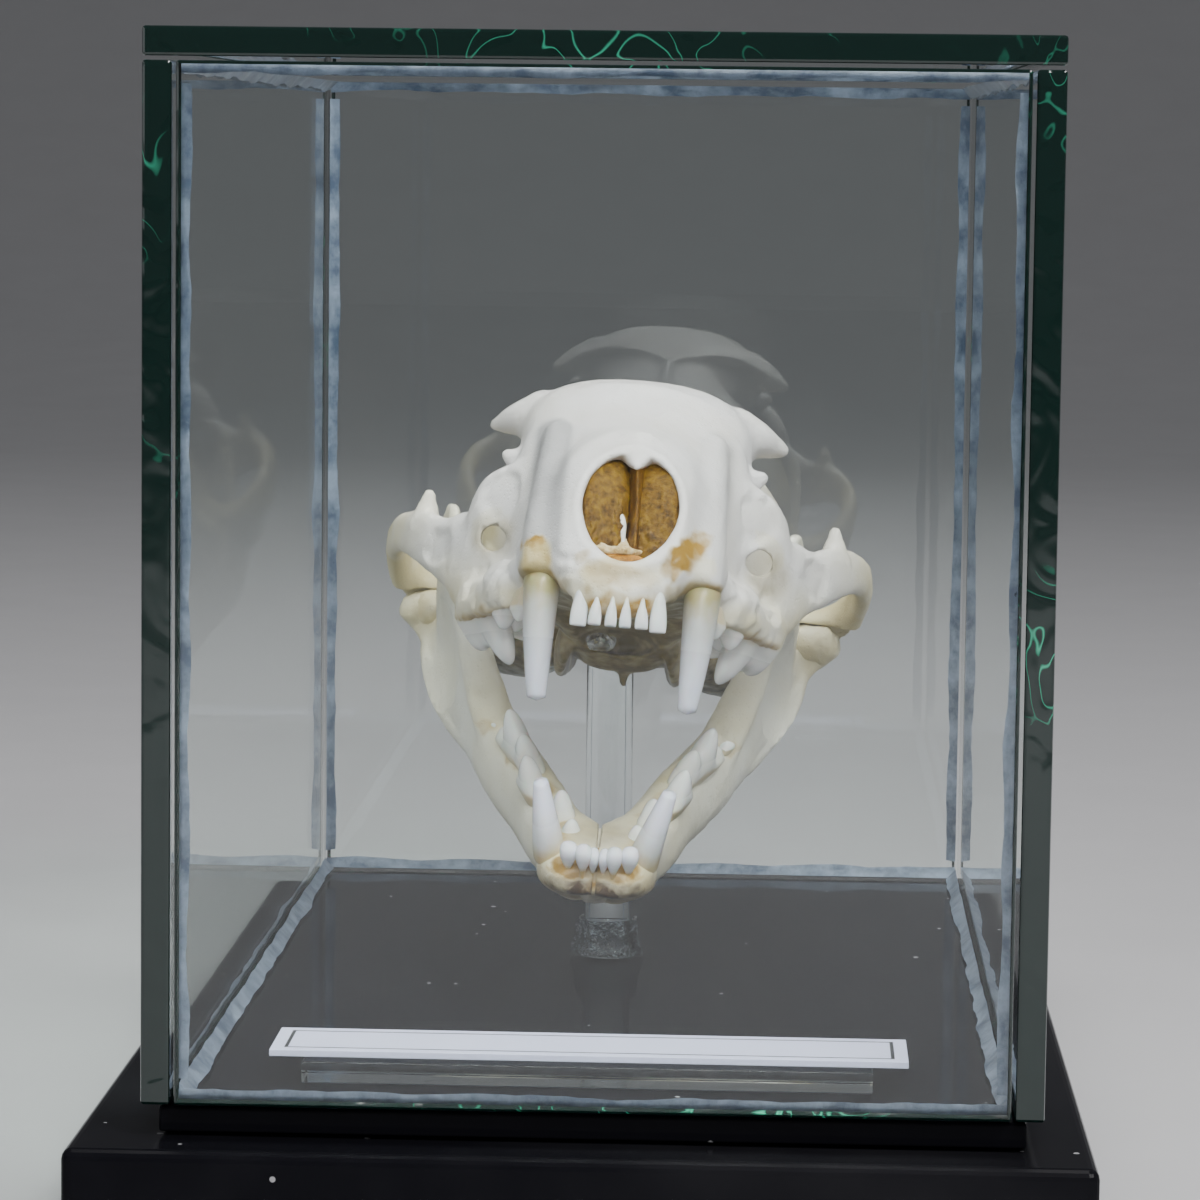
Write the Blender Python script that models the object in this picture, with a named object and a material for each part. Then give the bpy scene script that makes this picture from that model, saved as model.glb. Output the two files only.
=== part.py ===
"""A polecat skull with its jaws open, on a clear rod in a small glass display case with a black base.

The skull is shaped in millimetres in its own frame: x across, d back from the front of the upper jaw,
z up from the gum line of the upper incisors. The lower jaw is shaped about the jaw joint and turned open.
The case is shaped in millimetres about the middle of its own footprint, with z = 0 at the foot of the glass.
The skull faces -Y, so the animal's left side is on +X. The finished meshes are in metres, on a base whose
underside is at z = 0.
"""

import math

import bmesh
import bpy
from mathutils import Matrix, Vector

MM = 0.001
GAP = 0.3  # what touching pieces keep between them

# The case
CASE_WIDTH = 65.0
CASE_DEPTH = 112.0
CASE_HEIGHT = 77.5
GLASS = 2.1
CASE_SHIFT = 0.7  # the hand-made case stands this far right of the middle of its base
BASE_WIDTH = 74.0
BASE_DEPTH = 120.0
BASE_HEIGHT = 10.0
BASE_BEVEL = 0.8
PLINTH_WIDTH = 62.6
PLINTH_DEPTH = 109.6
PLINTH_HEIGHT = 2.2
BEAD = 1.3  # leg of the glue fillets in the inner corners
LABEL_SIZE = (47.2, 8.4, 0.5)
LABEL_PLACE = (-0.6, -42.1)
BLOCK_SIZE = (42.2, 6.0, 1.9)
BLOCK_PLACE = (-0.7, -43.6)
ROD_RADIUS = 2.0
ROD_PLACE = (-1.4, 9.6)
ROD_HEIGHT = 29.6  # the rod's top stands in a socket in the underside of the skull
ROD_FOOT_RADIUS = 3.1
ROD_FOOT_HEIGHT = 3.4

# How the skull is held: the place of its front gum point in the case, and its turns in degrees
SKULL_PLACE = (0.43, -27.0, 34.7)
SKULL_PITCH = -13.0
SKULL_ROLL = 4.6
SKULL_YAW = 1.5

# The jaw joint
JOINT_BACK = 43.5
JOINT_UP = 3.0
JAW_OPEN = 30.0
CONDYLE_RADIUS = 1.5
CONDYLE_SPAN = (13.2, 19.3)

TOOTH_SINK = 1.6  # how deep a cheek tooth's crown goes into the bone
GUM_SLOPE = 0.02  # how fast the upper gum line drops towards the back
CROWN_BEND = 2.1  # how full a cheek tooth is towards its edge
ROOT_BEND = 2.6
ROOT_TAPER = 0.35
VOXEL = 0.36  # how finely bone is grown together
JAW_VOXEL = 0.28
CRANIUM_ROUNDS = 12  # how much bone is softened where its main masses meet
JAW_ROUNDS = 6
DETAIL_ROUNDS = 3
CRANIUM_TRIANGLES = 5600  # before the hollows and the teeth
JAW_TRIANGLES = 1500
RING = 28  # points round a section of the skull
ROUND_SIDES = 32  # sides of a turned piece
SHARP_ANGLE = 35
BEAD_WAIST = 0.36  # how hollow a glue fillet is


def clear_scene():
    for old in list(bpy.data.objects):
        bpy.data.objects.remove(old)


def make_material(name, colour, roughness, metallic=0.0, transmission=0.0):
    material = bpy.data.materials.new(name)
    material.use_nodes = True
    shader = material.node_tree.nodes["Principled BSDF"]
    shader.inputs["Base Color"].default_value = (*colour, 1.0)
    shader.inputs["Roughness"].default_value = roughness
    shader.inputs["Metallic"].default_value = metallic
    shader.inputs["Transmission Weight"].default_value = transmission
    return material


def object_from(bm, name, material=None):
    """An object with this bmesh, its faces turned outwards."""
    bmesh.ops.recalc_face_normals(bm, faces=bm.faces)
    mesh = bpy.data.meshes.new(name)
    bm.to_mesh(mesh)
    bm.free()
    if material is not None:
        mesh.materials.append(material)
    made = bpy.data.objects.new(name, mesh)
    bpy.context.scene.collection.objects.link(made)
    return made


def apply_modifiers(obj):
    graph = bpy.context.evaluated_depsgraph_get()
    mesh = bpy.data.meshes.new_from_object(obj.evaluated_get(graph))
    obj.modifiers.clear()
    old = obj.data
    obj.data = mesh
    bpy.data.meshes.remove(old)


def curve_through(rows, steps):
    """Rows of numbers read from a smooth curve through the given rows."""
    made = []
    for i in range(len(rows) - 1):
        before = rows[max(i - 1, 0)]
        start, end = rows[i], rows[i + 1]
        after = rows[min(i + 2, len(rows) - 1)]
        for step in range(steps):
            t = step / steps
            made.append([
                0.5 * (2 * b + (c - a) * t + (2 * a - 5 * b + 4 * c - d) * t**2
                       + (3 * b - a - 3 * c + d) * t**3)
                for a, b, c, d in zip(before, start, end, after)
            ])
    made.append(list(rows[-1]))
    return made


def power_circle(count, upper, lower):
    """(across, up) of a closed section of unit size: 2 is round, more is boxier, less is sharper."""
    points = []
    for i in range(count):
        turn = 2 * math.pi * i / count
        across, up = math.cos(turn), math.sin(turn)
        bend = 2 / (upper if up >= 0 else lower)
        points.append((math.copysign(abs(across) ** bend, across), math.copysign(abs(up) ** bend, up)))
    return points


def add_loft(bm, rings):
    """A closed tube through rings of points, with flat ends."""
    loops = [[bm.verts.new(point) for point in ring] for ring in rings]
    count = len(loops[0])
    for first, second in zip(loops, loops[1:]):
        for i in range(count):
            j = (i + 1) % count
            bm.faces.new((first[i], first[j], second[j], second[i]))
    bm.faces.new(loops[0])
    bm.faces.new(reversed(loops[-1]))


def circle(centre, radius, height):
    """Points round an upright axis."""
    turns = [2 * math.pi * i / ROUND_SIDES for i in range(ROUND_SIDES)]
    x, y = centre[:2]
    return [(x + radius * math.cos(turn), y + radius * math.sin(turn), height) for turn in turns]


def loft_back(stations, steps=4):
    """A solid along d. A station is d, slant, half width, lowest, widest and highest z, and the two bends."""
    bm = bmesh.new()
    rings = []
    for d, slant, half, low, wide, high, upper, lower in curve_through(stations, steps):
        ring = []
        for across, up in power_circle(RING, upper, lower):
            z = wide + up * ((high - wide) if up >= 0 else (wide - low))
            ring.append((half * across, d + slant * z, z))
        rings.append(ring)
    add_loft(bm, rings)
    return bm


def sweep(stations, up=(0, 0, 1), bend=2.2, steps=3, sides=16):
    """A solid along a path. A station is the path's x, d and z, then the half thickness and half height."""
    rows = curve_through(stations, steps)
    centres = [Vector(row[:3]) for row in rows]
    bm = bmesh.new()
    rings = []
    for i, row in enumerate(rows):
        ahead = centres[min(i + 1, len(rows) - 1)] - centres[max(i - 1, 0)]
        side = ahead.cross(Vector(up)).normalized()
        lift = side.cross(ahead).normalized()
        rings.append([
            centres[i] + side * row[3] * across + lift * row[4] * high
            for across, high in power_circle(sides, bend, bend)
        ])
    add_loft(bm, rings)
    return bm


def blob(centre, radii, turn=0.0, tilt=0.0):
    """An ellipsoid, turned about z and tilted about x, in degrees."""
    bm = bmesh.new()
    bmesh.ops.create_uvsphere(bm, u_segments=20, v_segments=12, radius=1.0)
    place = Matrix.Translation(centre) @ Matrix.Rotation(math.radians(turn), 4, "Z")
    place = place @ Matrix.Rotation(math.radians(tilt), 4, "X") @ Matrix.Diagonal((*radii, 1.0))
    bmesh.ops.transform(bm, matrix=place, verts=bm.verts)
    return bm


def spike(start, end, start_radius, end_radius, flat=1.0, sides=10):
    """A tapered limb with a rounded tip. flat is its thickness over its width."""
    start, end = Vector(start), Vector(end)
    heading = (end - start).normalized()
    tip = heading * end_radius
    up = (0, 1, 0) if abs(heading.z) > 0.7 else (0, 0, 1)
    stations = [
        (*start, start_radius, start_radius * flat),
        (*start.lerp(end, 0.5), (start_radius + end_radius) / 2, (start_radius + end_radius) / 2 * flat),
        (*end, end_radius, end_radius * flat),
        (*(end + tip * 0.7), end_radius * 0.7, end_radius * 0.7 * flat),
        (*(end + tip), end_radius * 0.25, end_radius * 0.25 * flat),
    ]
    return sweep(stations, up=up, bend=2.0, steps=2, sides=sides)


def mirrored(bm):
    """A copy of a shape on the other side of the middle plane."""
    copy = bm.copy()
    bmesh.ops.scale(copy, vec=(-1, 1, 1), verts=copy.verts)
    bmesh.ops.reverse_faces(copy, faces=copy.faces)
    return copy


def both_sides(shapes):
    return [copy for shape in shapes for copy in (shape, mirrored(shape))]


def grow(name, shapes, voxel, rounds):
    """Bone grown together from overlapping closed shapes, softened where they meet by a number of rounds."""
    bm = bmesh.new()
    for shape in shapes:
        bmesh.ops.recalc_face_normals(shape, faces=shape.faces)
        mesh = bpy.data.meshes.new("shape")
        shape.to_mesh(mesh)
        shape.free()
        bm.from_mesh(mesh)
        bpy.data.meshes.remove(mesh)
    mesh = bpy.data.meshes.new(name)
    bm.to_mesh(mesh)
    bm.free()
    bone = bpy.data.objects.new(name, mesh)
    bpy.context.scene.collection.objects.link(bone)
    grown = bone.modifiers.new("Grown together", "REMESH")
    grown.mode = "VOXEL"
    grown.voxel_size = voxel
    soft = bone.modifiers.new("Softened", "SMOOTH")
    soft.factor = 0.5
    soft.iterations = rounds
    apply_modifiers(bone)
    return bone


def fuse(name, masses, details, triangles, voxel, rounds):
    """Bone from its main masses, well blended, and then from the finer forms that stand on them."""
    body = grow(name, masses, voxel, rounds)
    bm = bmesh.new()
    bm.from_mesh(body.data)
    bpy.data.objects.remove(body)
    bone = grow(name, [bm, *details], voxel, DETAIL_ROUNDS)
    thin_out(bone, triangles)
    return bone


def thin_out(obj, triangles):
    """Fewer, larger faces."""
    obj.data.calc_loop_triangles()
    share = triangles / len(obj.data.loop_triangles)
    if share >= 1:
        return
    fewer = obj.modifiers.new("Fewer faces", "DECIMATE")
    fewer.ratio = share
    fewer.use_collapse_triangulate = True
    apply_modifiers(obj)


def largest_piece(obj):
    """Keeps only the surface with the most faces, which drops loose scraps and sealed hollows."""
    bm = bmesh.new()
    bm.from_mesh(obj.data)
    bm.faces.ensure_lookup_table()
    seen, best = set(), []
    for face in bm.faces:
        if face.index in seen:
            continue
        group, queue = [], [face]
        seen.add(face.index)
        while queue:
            current = queue.pop()
            group.append(current)
            for edge in current.edges:
                for other in edge.link_faces:
                    if other.index not in seen:
                        seen.add(other.index)
                        queue.append(other)
        if len(group) > len(best):
            best = group
    keep = {face.index for face in best}
    bmesh.ops.delete(bm, geom=[face for face in bm.faces if face.index not in keep], context="FACES")
    bm.to_mesh(obj.data)
    bm.free()


def combine(obj, shapes, operation, solver="MANIFOLD"):
    """One Boolean of obj with a collection of closed shapes, which are then removed."""
    pieces = bpy.data.collections.new("Pieces")
    bpy.context.scene.collection.children.link(pieces)
    for shape in shapes:
        piece = object_from(shape, "piece")
        bpy.context.scene.collection.objects.unlink(piece)
        pieces.objects.link(piece)
    step = obj.modifiers.new("Step", "BOOLEAN")
    step.operation = operation
    step.solver = solver
    step.operand_type = "COLLECTION"
    step.collection = pieces
    apply_modifiers(obj)
    for piece in list(pieces.objects):
        bpy.data.objects.remove(piece)
    bpy.data.collections.remove(pieces)
    largest_piece(obj)


def box(low, high):
    bm = bmesh.new()
    bmesh.ops.create_cube(bm, size=1.0)
    size = Vector(high) - Vector(low)
    middle = (Vector(high) + Vector(low)) / 2
    bmesh.ops.transform(bm, matrix=Matrix.Translation(middle) @ Matrix.Diagonal((*size, 1.0)), verts=bm.verts)
    return bm


def place(obj, matrix, material):
    """Puts a finished shape in the world, in metres."""
    obj.data.transform(matrix)
    obj.data.materials.clear()
    obj.data.materials.append(material)
    obj.data.shade_smooth()
    obj.data.set_sharp_from_angle(angle=math.radians(SHARP_ANGLE))


def case_matrix():
    lift = BASE_HEIGHT + PLINTH_HEIGHT
    return Matrix.Scale(MM, 4) @ Matrix.Translation((CASE_SHIFT, 0, lift))


def skull_matrix():
    turn = Matrix.Rotation(math.radians(SKULL_YAW), 4, "Z")
    turn = turn @ Matrix.Rotation(math.radians(SKULL_PITCH), 4, "X")
    turn = turn @ Matrix.Rotation(math.radians(SKULL_ROLL), 4, "Y")
    return case_matrix() @ Matrix.Translation(SKULL_PLACE) @ turn


def jaw_matrix():
    """From the jaw's own frame (x, forward, up, about the joint) to the skull's."""
    forward = Matrix.Diagonal((1, -1, 1, 1))
    swing = Matrix.Rotation(math.radians(JAW_OPEN), 4, "X")
    return Matrix.Translation((0, JOINT_BACK, JOINT_UP)) @ swing @ forward


# The cranium

def face_shell():
    """Snout and frontal region, from the slanted nose opening back past the orbits."""
    return loft_back([
        (-0.2, 0.50, 4.5, 0.4, 6.6, 12.9, 2.0, 2.4),
        (1.0, 0.46, 5.5, 0.2, 6.2, 13.5, 2.1, 2.6),
        (3.6, 0.36, 6.5, 0.2, 5.6, 14.5, 2.2, 2.8),
        (8.0, 0.25, 7.2, 0.4, 5.6, 15.8, 2.2, 2.8),
        (12.5, 0.14, 8.5, 0.5, 6.0, 17.4, 2.3, 2.8),
        (16.5, 0.06, 9.9, 0.6, 7.0, 19.2, 2.4, 2.6),
        (19.5, 0.0, 9.8, 1.0, 9.0, 20.4, 2.5, 2.4),
        (22.0, 0.0, 7.6, 2.0, 9.5, 20.0, 2.4, 2.2),
    ])


def skull_roof():
    """Forehead, waist behind the orbits, and braincase."""
    return loft_back([
        (17.5, 0.0, 7.5, 11.0, 14.5, 19.0, 2.4, 2.0),
        (20.5, 0.0, 9.4, 10.0, 14.6, 20.5, 2.5, 2.0),
        (24.0, 0.0, 9.6, 9.5, 15.4, 21.3, 2.6, 1.9),
        (27.5, 0.0, 9.4, 8.5, 16.4, 21.4, 2.5, 1.8),
        (31.0, 0.0, 8.0, 6.5, 15.0, 21.2, 2.3, 1.8),
        (34.5, 0.0, 7.5, 4.0, 13.4, 20.9, 2.2, 1.9),
        (39.0, 0.0, 9.8, 2.4, 12.0, 20.9, 2.2, 2.1),
        (45.0, 0.0, 13.0, 1.2, 11.0, 21.0, 2.2, 2.3),
        (51.0, 0.0, 14.1, 0.6, 10.4, 20.6, 2.2, 2.4),
        (55.5, 0.0, 14.0, 0.9, 9.8, 19.6, 2.2, 2.4),
        (59.0, 0.0, 13.0, 1.6, 8.8, 18.4, 2.2, 2.4),
        (61.8, 0.0, 11.4, 2.7, 8.6, 17.2, 2.2, 2.3),
        (64.0, 0.0, 8.8, 3.9, 8.4, 15.6, 2.2, 2.2),
        (65.2, 0.0, 6.2, 5.0, 8.4, 13.4, 2.1, 2.1),
    ])


def throat_tube():
    """Side walls of the nose behind the cheek teeth, down to the roof of the throat."""
    return loft_back([
        (15.0, 0.0, 7.8, 0.8, 4.0, 12.0, 2.6, 3.0),
        (20.0, 0.0, 8.6, 0.8, 4.0, 12.5, 2.4, 3.0),
        (24.0, 0.0, 6.8, -0.5, 4.2, 13.0, 2.2, 3.0),
        (28.0, 0.0, 5.2, -1.7, 4.4, 13.0, 2.2, 3.2),
        (31.5, 0.0, 4.8, -2.2, 4.6, 12.0, 2.2, 3.2),
        (34.0, 0.0, 4.2, 2.4, 5.6, 11.0, 2.2, 2.4),
        (40.0, 0.0, 4.4, 2.2, 6.0, 10.0, 2.2, 2.4),
        (46.0, 0.0, 6.0, 1.2, 6.0, 9.0, 2.2, 2.4),
    ])


def tooth_ridge():
    """The thick edge of the upper jaw that holds the teeth of one side."""
    return sweep([
        (0.0, 1.6, 2.0, 1.2, 1.9),
        (3.0, 2.4, 2.4, 1.2, 1.9),
        (5.2, 4.9, 4.0, 1.3, 2.0),
        (6.9, 9.0, 2.2, 1.6, 1.9),
        (8.4, 12.8, 1.9, 1.8, 2.0),
        (9.9, 17.0, 1.5, 2.1, 2.1),
        (10.9, 20.6, 1.2, 2.2, 2.1),
        (9.6, 23.6, 1.4, 2.1, 1.8),
        (5.6, 25.6, 2.2, 1.8, 1.4),
    ])


def canine_socket():
    """The swelling over the long root of the upper canine, from its rim up beside the nose."""
    return sweep([
        (6.4, 5.1, 1.6, 1.75, 2.1),
        (6.4, 6.1, 4.2, 1.8, 2.25),
        (6.3, 8.7, 7.5, 1.7, 2.05),
        (6.3, 12.6, 11.5, 1.5, 1.85),
        (6.4, 16.6, 15.2, 1.1, 1.4),
    ], up=(0, 1, 0))


def gum_wall():
    """The outer wall of the sockets of the upper cheek teeth."""
    return sweep([
        (8.7, 9.5, 1.2, 0.9, 1.6),
        (10.2, 13.0, 1.0, 0.9, 1.8),
        (11.8, 16.8, 0.9, 0.9, 1.9),
        (12.7, 20.4, 1.0, 0.9, 1.9),
        (12.0, 23.4, 1.3, 0.9, 1.5),
    ])


def cheek_arch():
    """Cheekbone of one side, from the maxilla out and back to the jaw joint."""
    return sweep([
        (6.6, 16.8, 7.0, 2.6, 6.0),
        (9.8, 18.4, 6.2, 1.8, 6.1),
        (12.3, 21.0, 5.0, 1.4, 4.5),
        (13.8, 23.2, 5.7, 1.2, 3.4),
        (15.4, 25.7, 6.3, 1.05, 2.4),
        (17.6, 29.6, 7.5, 0.95, 2.3),
        (19.4, 34.0, 8.1, 0.9, 1.8),
        (20.1, 38.0, 7.7, 0.95, 1.7),
        (19.8, 41.5, 6.5, 1.0, 1.9),
        (18.6, 43.7, 4.9, 1.5, 1.6),
        (16.4, 44.6, 4.2, 2.3, 1.5),
        (14.4, 44.9, 4.6, 2.8, 1.9),
        (11.5, 45.0, 6.6, 3.4, 2.8),
    ], bend=2.4)


def brow_process():
    """The pointed process over and behind the orbit."""
    return sweep([
        (7.6, 26.2, 17.9, 3.4, 2.5),
        (9.8, 26.8, 17.9, 2.6, 1.8),
        (11.4, 27.4, 17.5, 1.5, 1.1),
        (12.4, 27.8, 17.3, 0.6, 0.5),
    ])


def crest_over_braincase():
    return sweep([
        (0, 33.5, 20.0, 0.7, 1.1),
        (0, 40.0, 20.7, 0.7, 1.2),
        (0, 50.0, 20.6, 0.7, 1.3),
        (0, 58.0, 18.8, 0.7, 1.6),
        (0, 65.0, 16.2, 0.8, 1.8),
    ])


def temple_line():
    return sweep([
        (10.2, 28.4, 18.4, 0.5, 0.5),
        (6.6, 30.6, 20.4, 0.5, 0.5),
        (3.0, 33.0, 21.0, 0.5, 0.5),
        (0.4, 36.5, 21.3, 0.5, 0.5),
    ])


def nape_crest():
    """The ridge round the back of the skull, from the middle down to the mastoid."""
    return sweep([
        (0.0, 65.0, 16.4, 0.9, 1.6),
        (5.0, 64.3, 15.3, 0.9, 1.5),
        (9.6, 62.2, 12.6, 0.9, 1.5),
        (13.2, 59.6, 9.2, 1.0, 1.5),
        (15.6, 57.2, 6.2, 1.4, 1.7),
    ])


def ear_and_neck():
    """Ear capsule and its tube, mastoid and condyle of the neck joint, for one side."""
    return [
        blob((8.6, 50.6, 1.9), (4.4, 7.8, 3.3), turn=-16),
        blob((6.4, 45.4, 1.6), (2.6, 4.0, 2.5), turn=-10),
        spike((10.4, 51.6, 3.2), (14.2, 51.4, 4.4), 3.0, 2.1),
        blob((14.4, 55.6, 5.2), (2.9, 3.4, 3.4), turn=-30),
        blob((4.0, 63.8, 5.4), (2.4, 3.4, 2.9), turn=-28),
        blob((6.0, 61.0, 4.6), (3.6, 3.2, 2.6)),
    ]


def cranium_masses():
    middle = [face_shell(), skull_roof(), throat_tube(), blob((0, 58, 4.2), (5.5, 7.0, 2.4))]
    middle.append(blob((0, 1.75, 0.9), (3.1, 1.35, 1.7)))
    one_side = [tooth_ridge(), gum_wall(), cheek_arch(), canine_socket(), brow_process(), *ear_and_neck()]
    return middle + both_sides(one_side)


def cranium_details():
    one_side = [
        temple_line(),
        nape_crest(),
        spike((9.3, 20.6, 13.0), (10.5, 21.0, 13.6), 1.3, 0.6),
        spike((17.3, 29.6, 8.2), (17.1, 29.0, 10.9), 1.5, 0.6, flat=0.6),
        spike((11.0, 58.6, 5.0), (11.4, 60.0, 1.4), 1.6, 0.7),
        spike((12.8, 46.6, 5.0), (14.2, 46.2, 2.0), 1.7, 0.7, flat=0.6),
        sweep([(4.4, 27.5, -0.4, 0.6, 1.8), (4.9, 31.5, -0.9, 0.6, 2.3), (4.5, 36.0, 0.3, 0.6, 2.8),
               (4.2, 40.0, 1.6, 0.6, 2.9)]),
        spike((4.3, 38.6, 0.0), (4.7, 41.2, -1.4), 0.7, 0.4),
    ]
    palate_spine = spike((0.5, 31.0, -1.0), (0.55, 31.7, -3.3), 0.8, 0.35)
    return [crest_over_braincase(), palate_spine, *both_sides(one_side)]


def nose_opening():
    """The heart-shaped nose opening, then the two deeper passages either side of the septum."""
    opening = loft_back([
        (-4.0, 0.5, 3.8, 3.0, 7.8, 12.2, 2.1, 1.9),
        (1.2, 0.5, 3.7, 3.1, 7.8, 12.1, 2.1, 1.9),
    ], steps=1)
    passages = []
    for side in (-1, 1):
        passage = loft_back([
            (0.4, 0.5, 1.65, 4.0, 7.8, 11.6, 2.2, 2.2),
            (6.5, 0.4, 1.5, 4.4, 7.6, 10.8, 2.2, 2.2),
        ], steps=1)
        bmesh.ops.translate(passage, vec=(side * 1.95, 0, 0), verts=passage.verts)
        passages.append(passage)
    return [opening, *passages]


def nasal_tip():
    """The tips of the nasal bones, which dip into the top of the nose opening."""
    return spike((0, 8.4, 12.9), (0, 5.6, 11.5), 1.5, 0.5, flat=0.8)


def rod_socket():
    """The hole in the skull's underside that the rod stands in, made about the upright rod."""
    bm = bmesh.new()
    below = ROD_HEIGHT - 8.0
    add_loft(bm, [circle(ROD_PLACE, ROD_RADIUS + GAP, height) for height in (below, ROD_HEIGHT + GAP)])
    bmesh.ops.transform(bm, matrix=skull_matrix().inverted() @ case_matrix(), verts=bm.verts)
    return bm


def cranium_hollows():
    """What is open in the bone: nose, palate, cheek holes, throat, jaw sockets, ears and neck."""
    one_side = [
        spike((10.3, 11.0, 5.2), (11.2, 27.0, 7.6), 1.15, 1.25, sides=12),
        spike((21.0, 52.0, 5.0), (13.5, 51.6, 4.6), 1.3, 1.1, sides=12),
        sweep([(CONDYLE_SPAN[0] - 2.0, JOINT_BACK, JOINT_UP, 1.9, 1.9),
               (CONDYLE_SPAN[1] + 3.0, JOINT_BACK, JOINT_UP, 1.9, 1.9)], bend=2.0, steps=1),
    ]
    middle = [
        blob((0, 14.0, -0.6), (5.2, 15.0, 1.8)),
        blob((0, 36.0, 1.6), (3.2, 8.0, 2.7)),
        loft_back([(54.0, 0, 3.0, 5.4, 8.1, 10.6, 2, 2), (60.0, 0, 3.5, 5.2, 8.1, 11.0, 2, 2),
                   (69.0, 0, 3.9, 4.8, 8.1, 11.4, 2, 2)], steps=1),
    ]
    return nose_opening() + middle + both_sides(one_side) + [rod_socket()]


# Teeth. Each is sunk well into the bone that it grows from.

def fang(root, tip, base, top, bow):
    """A canine: an oval cone bent by bow along its length. base and top are (half width, half length)."""
    root, tip, bow = Vector(root), Vector(tip), Vector(bow)
    stations = []
    for t in (0.0, 0.16, 0.38, 0.6, 0.8, 0.93, 1.0):
        swell = 1 - t**1.6
        point = root.lerp(tip, t) + bow * math.sin(math.pi * t)
        shrink = 0.6 if t in (0.0, 1.0) else 1.0
        half_width = (top[0] + (base[0] - top[0]) * swell) * shrink
        half_length = (top[1] + (base[1] - top[1]) * swell) * shrink
        stations.append((*point, half_width, half_length))
    return sweep(stations, up=(0, 1, 0), bend=2.0, steps=1, sides=12)


def incisor(root, tip, width, depth):
    """A small chisel-tipped tooth."""
    root, tip = Vector(root), Vector(tip)
    stations = [
        (*root, width * 0.36, depth * 0.4),
        (*root.lerp(tip, 0.55), width * 0.42, depth * 0.46),
        (*root.lerp(tip, 0.85), width * 0.5, depth * 0.4),
        (*tip, width * 0.38, depth * 0.16),
    ]
    return sweep(stations, up=(0, 1, 0), bend=2.6, steps=1, sides=8)


def cheek_tooth(x, d, heading, lean, profile, gum, rise, sides=10):
    """A cheek tooth about (x, d): one crown along the tooth row, whose edge rises to its cusps.

    A row of the profile is how far along and across the tooth it lies, its half thickness and its height.
    heading turns the tooth row outwards. lean is how far a cusp goes outwards for each millimetre of its
    height. rise is 1 for a lower tooth and -1 for an upper one.
    """
    along = Vector((math.sin(math.radians(heading)), math.cos(math.radians(heading)), 0))
    across = Vector((along.y, -along.x, 0))
    bm = bmesh.new()
    rings = []
    for far, out, half, height in curve_through(profile, 2):
        middle = Vector((x, d, gum)) + along * far + across * out
        ring = []
        for side, up in power_circle(sides, CROWN_BEND, ROOT_BEND):
            reach = up * (height if up > 0 else TOOTH_SINK)
            taper = 1 + ROOT_TAPER * min(up, 0)
            ring.append(middle + across * half * side * taper + Vector((lean, 0, rise)) * reach)
        rings.append(ring)
    add_loft(bm, rings)
    return bm


UPPER_INCISORS = [(0.56, 0.5, 2.2, 0.9), (1.82, 0.8, 2.15, 1.0), (3.08, 1.5, 2.4, 1.3)]  # x, d, height, width
UPPER_CHEEK = [  # x, d, heading, lean, then the rows of the profile
    (7.8, 9.0, 14, 0.0, [(-1.1, 0, 0.4, 0.2), (-0.2, 0, 0.7, 1.3), (0.5, 0, 0.65, 0.8), (1.2, 0, 0.4, 0.2)]),
    (9.1, 12.4, 18, 0.0, [(-1.9, 0, 0.4, 0.2), (-1.1, 0, 0.7, 0.8), (-0.1, 0, 0.9, 1.6), (0.9, 0, 0.75, 0.9),
                          (1.7, 0, 0.5, 0.3)]),
    (10.9, 17.5, 25, -0.45, [(-3.5, 0, 0.5, 0.6), (-2.8, 0, 0.95, 2.7), (-1.9, 0, 1.2, 3.8),
                             (-1.0, 0, 1.2, 3.7), (-0.1, 0, 1.1, 2.7), (1.0, 0.2, 1.0, 2.4),
                             (2.1, 0.3, 0.95, 2.6), (3.1, 0.4, 0.8, 2.2), (3.7, 0.4, 0.4, 0.5)]),
    (8.6, 15.6, 100, 0.0, [(-1.6, 0, 0.4, 0.3), (-0.4, 0, 0.8, 1.3), (0.6, 0, 0.9, 0.7), (1.4, 0, 0.8, 0.3)]),
    (9.4, 22.9, 98, 0.0, [(-2.9, 0, 1.0, 0.3), (-1.9, 0, 1.5, 0.9), (-0.2, 0, 1.0, 0.7), (1.5, 0, 1.15, 1.4),
                          (2.5, 0, 0.7, 0.5)]),
]
LOWER_INCISORS = [(0.5, 41.9, 1.9, 0.75), (1.28, 41.7, 2.3, 1.1), (2.35, 41.2, 2.1, 1.2)]
LOWER_CHEEK = [  # x, forward, heading, lean, then the rows of the profile
    (3.2, 35.4, -20, 0.0, [(-0.9, 0, 0.4, 0.2), (0.1, 0, 0.7, 1.4), (0.9, 0, 0.4, 0.3)]),
    (4.0, 32.2, -20, 0.1, [(-1.6, 0, 0.45, 0.3), (-0.8, 0, 0.75, 0.9), (0.3, 0, 0.9, 2.4),
                           (1.4, 0, 0.6, 0.4)]),
    (5.5, 28.2, -22, 0.25, [(-2.3, 0, 0.5, 0.4), (-1.4, 0, 0.9, 1.5), (0.2, 0, 1.05, 3.3),
                            (1.3, 0, 0.85, 1.4), (2.0, 0, 0.5, 0.4)]),
    (7.3, 22.0, -22, 0.3, [(-4.4, 0, 0.7, 0.5), (-3.2, 0, 1.2, 1.5), (-1.9, 0, 1.2, 1.3), (-0.4, 0, 1.2, 4.2),
                           (1.0, 0, 1.0, 2.3), (2.6, 0, 1.1, 3.2), (3.8, 0, 0.6, 0.6)]),
    (9.8, 15.9, -22, 0.1, [(-1.0, 0, 0.5, 0.3), (0, 0, 0.9, 1.0), (1.0, 0, 0.5, 0.3)]),
]


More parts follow.
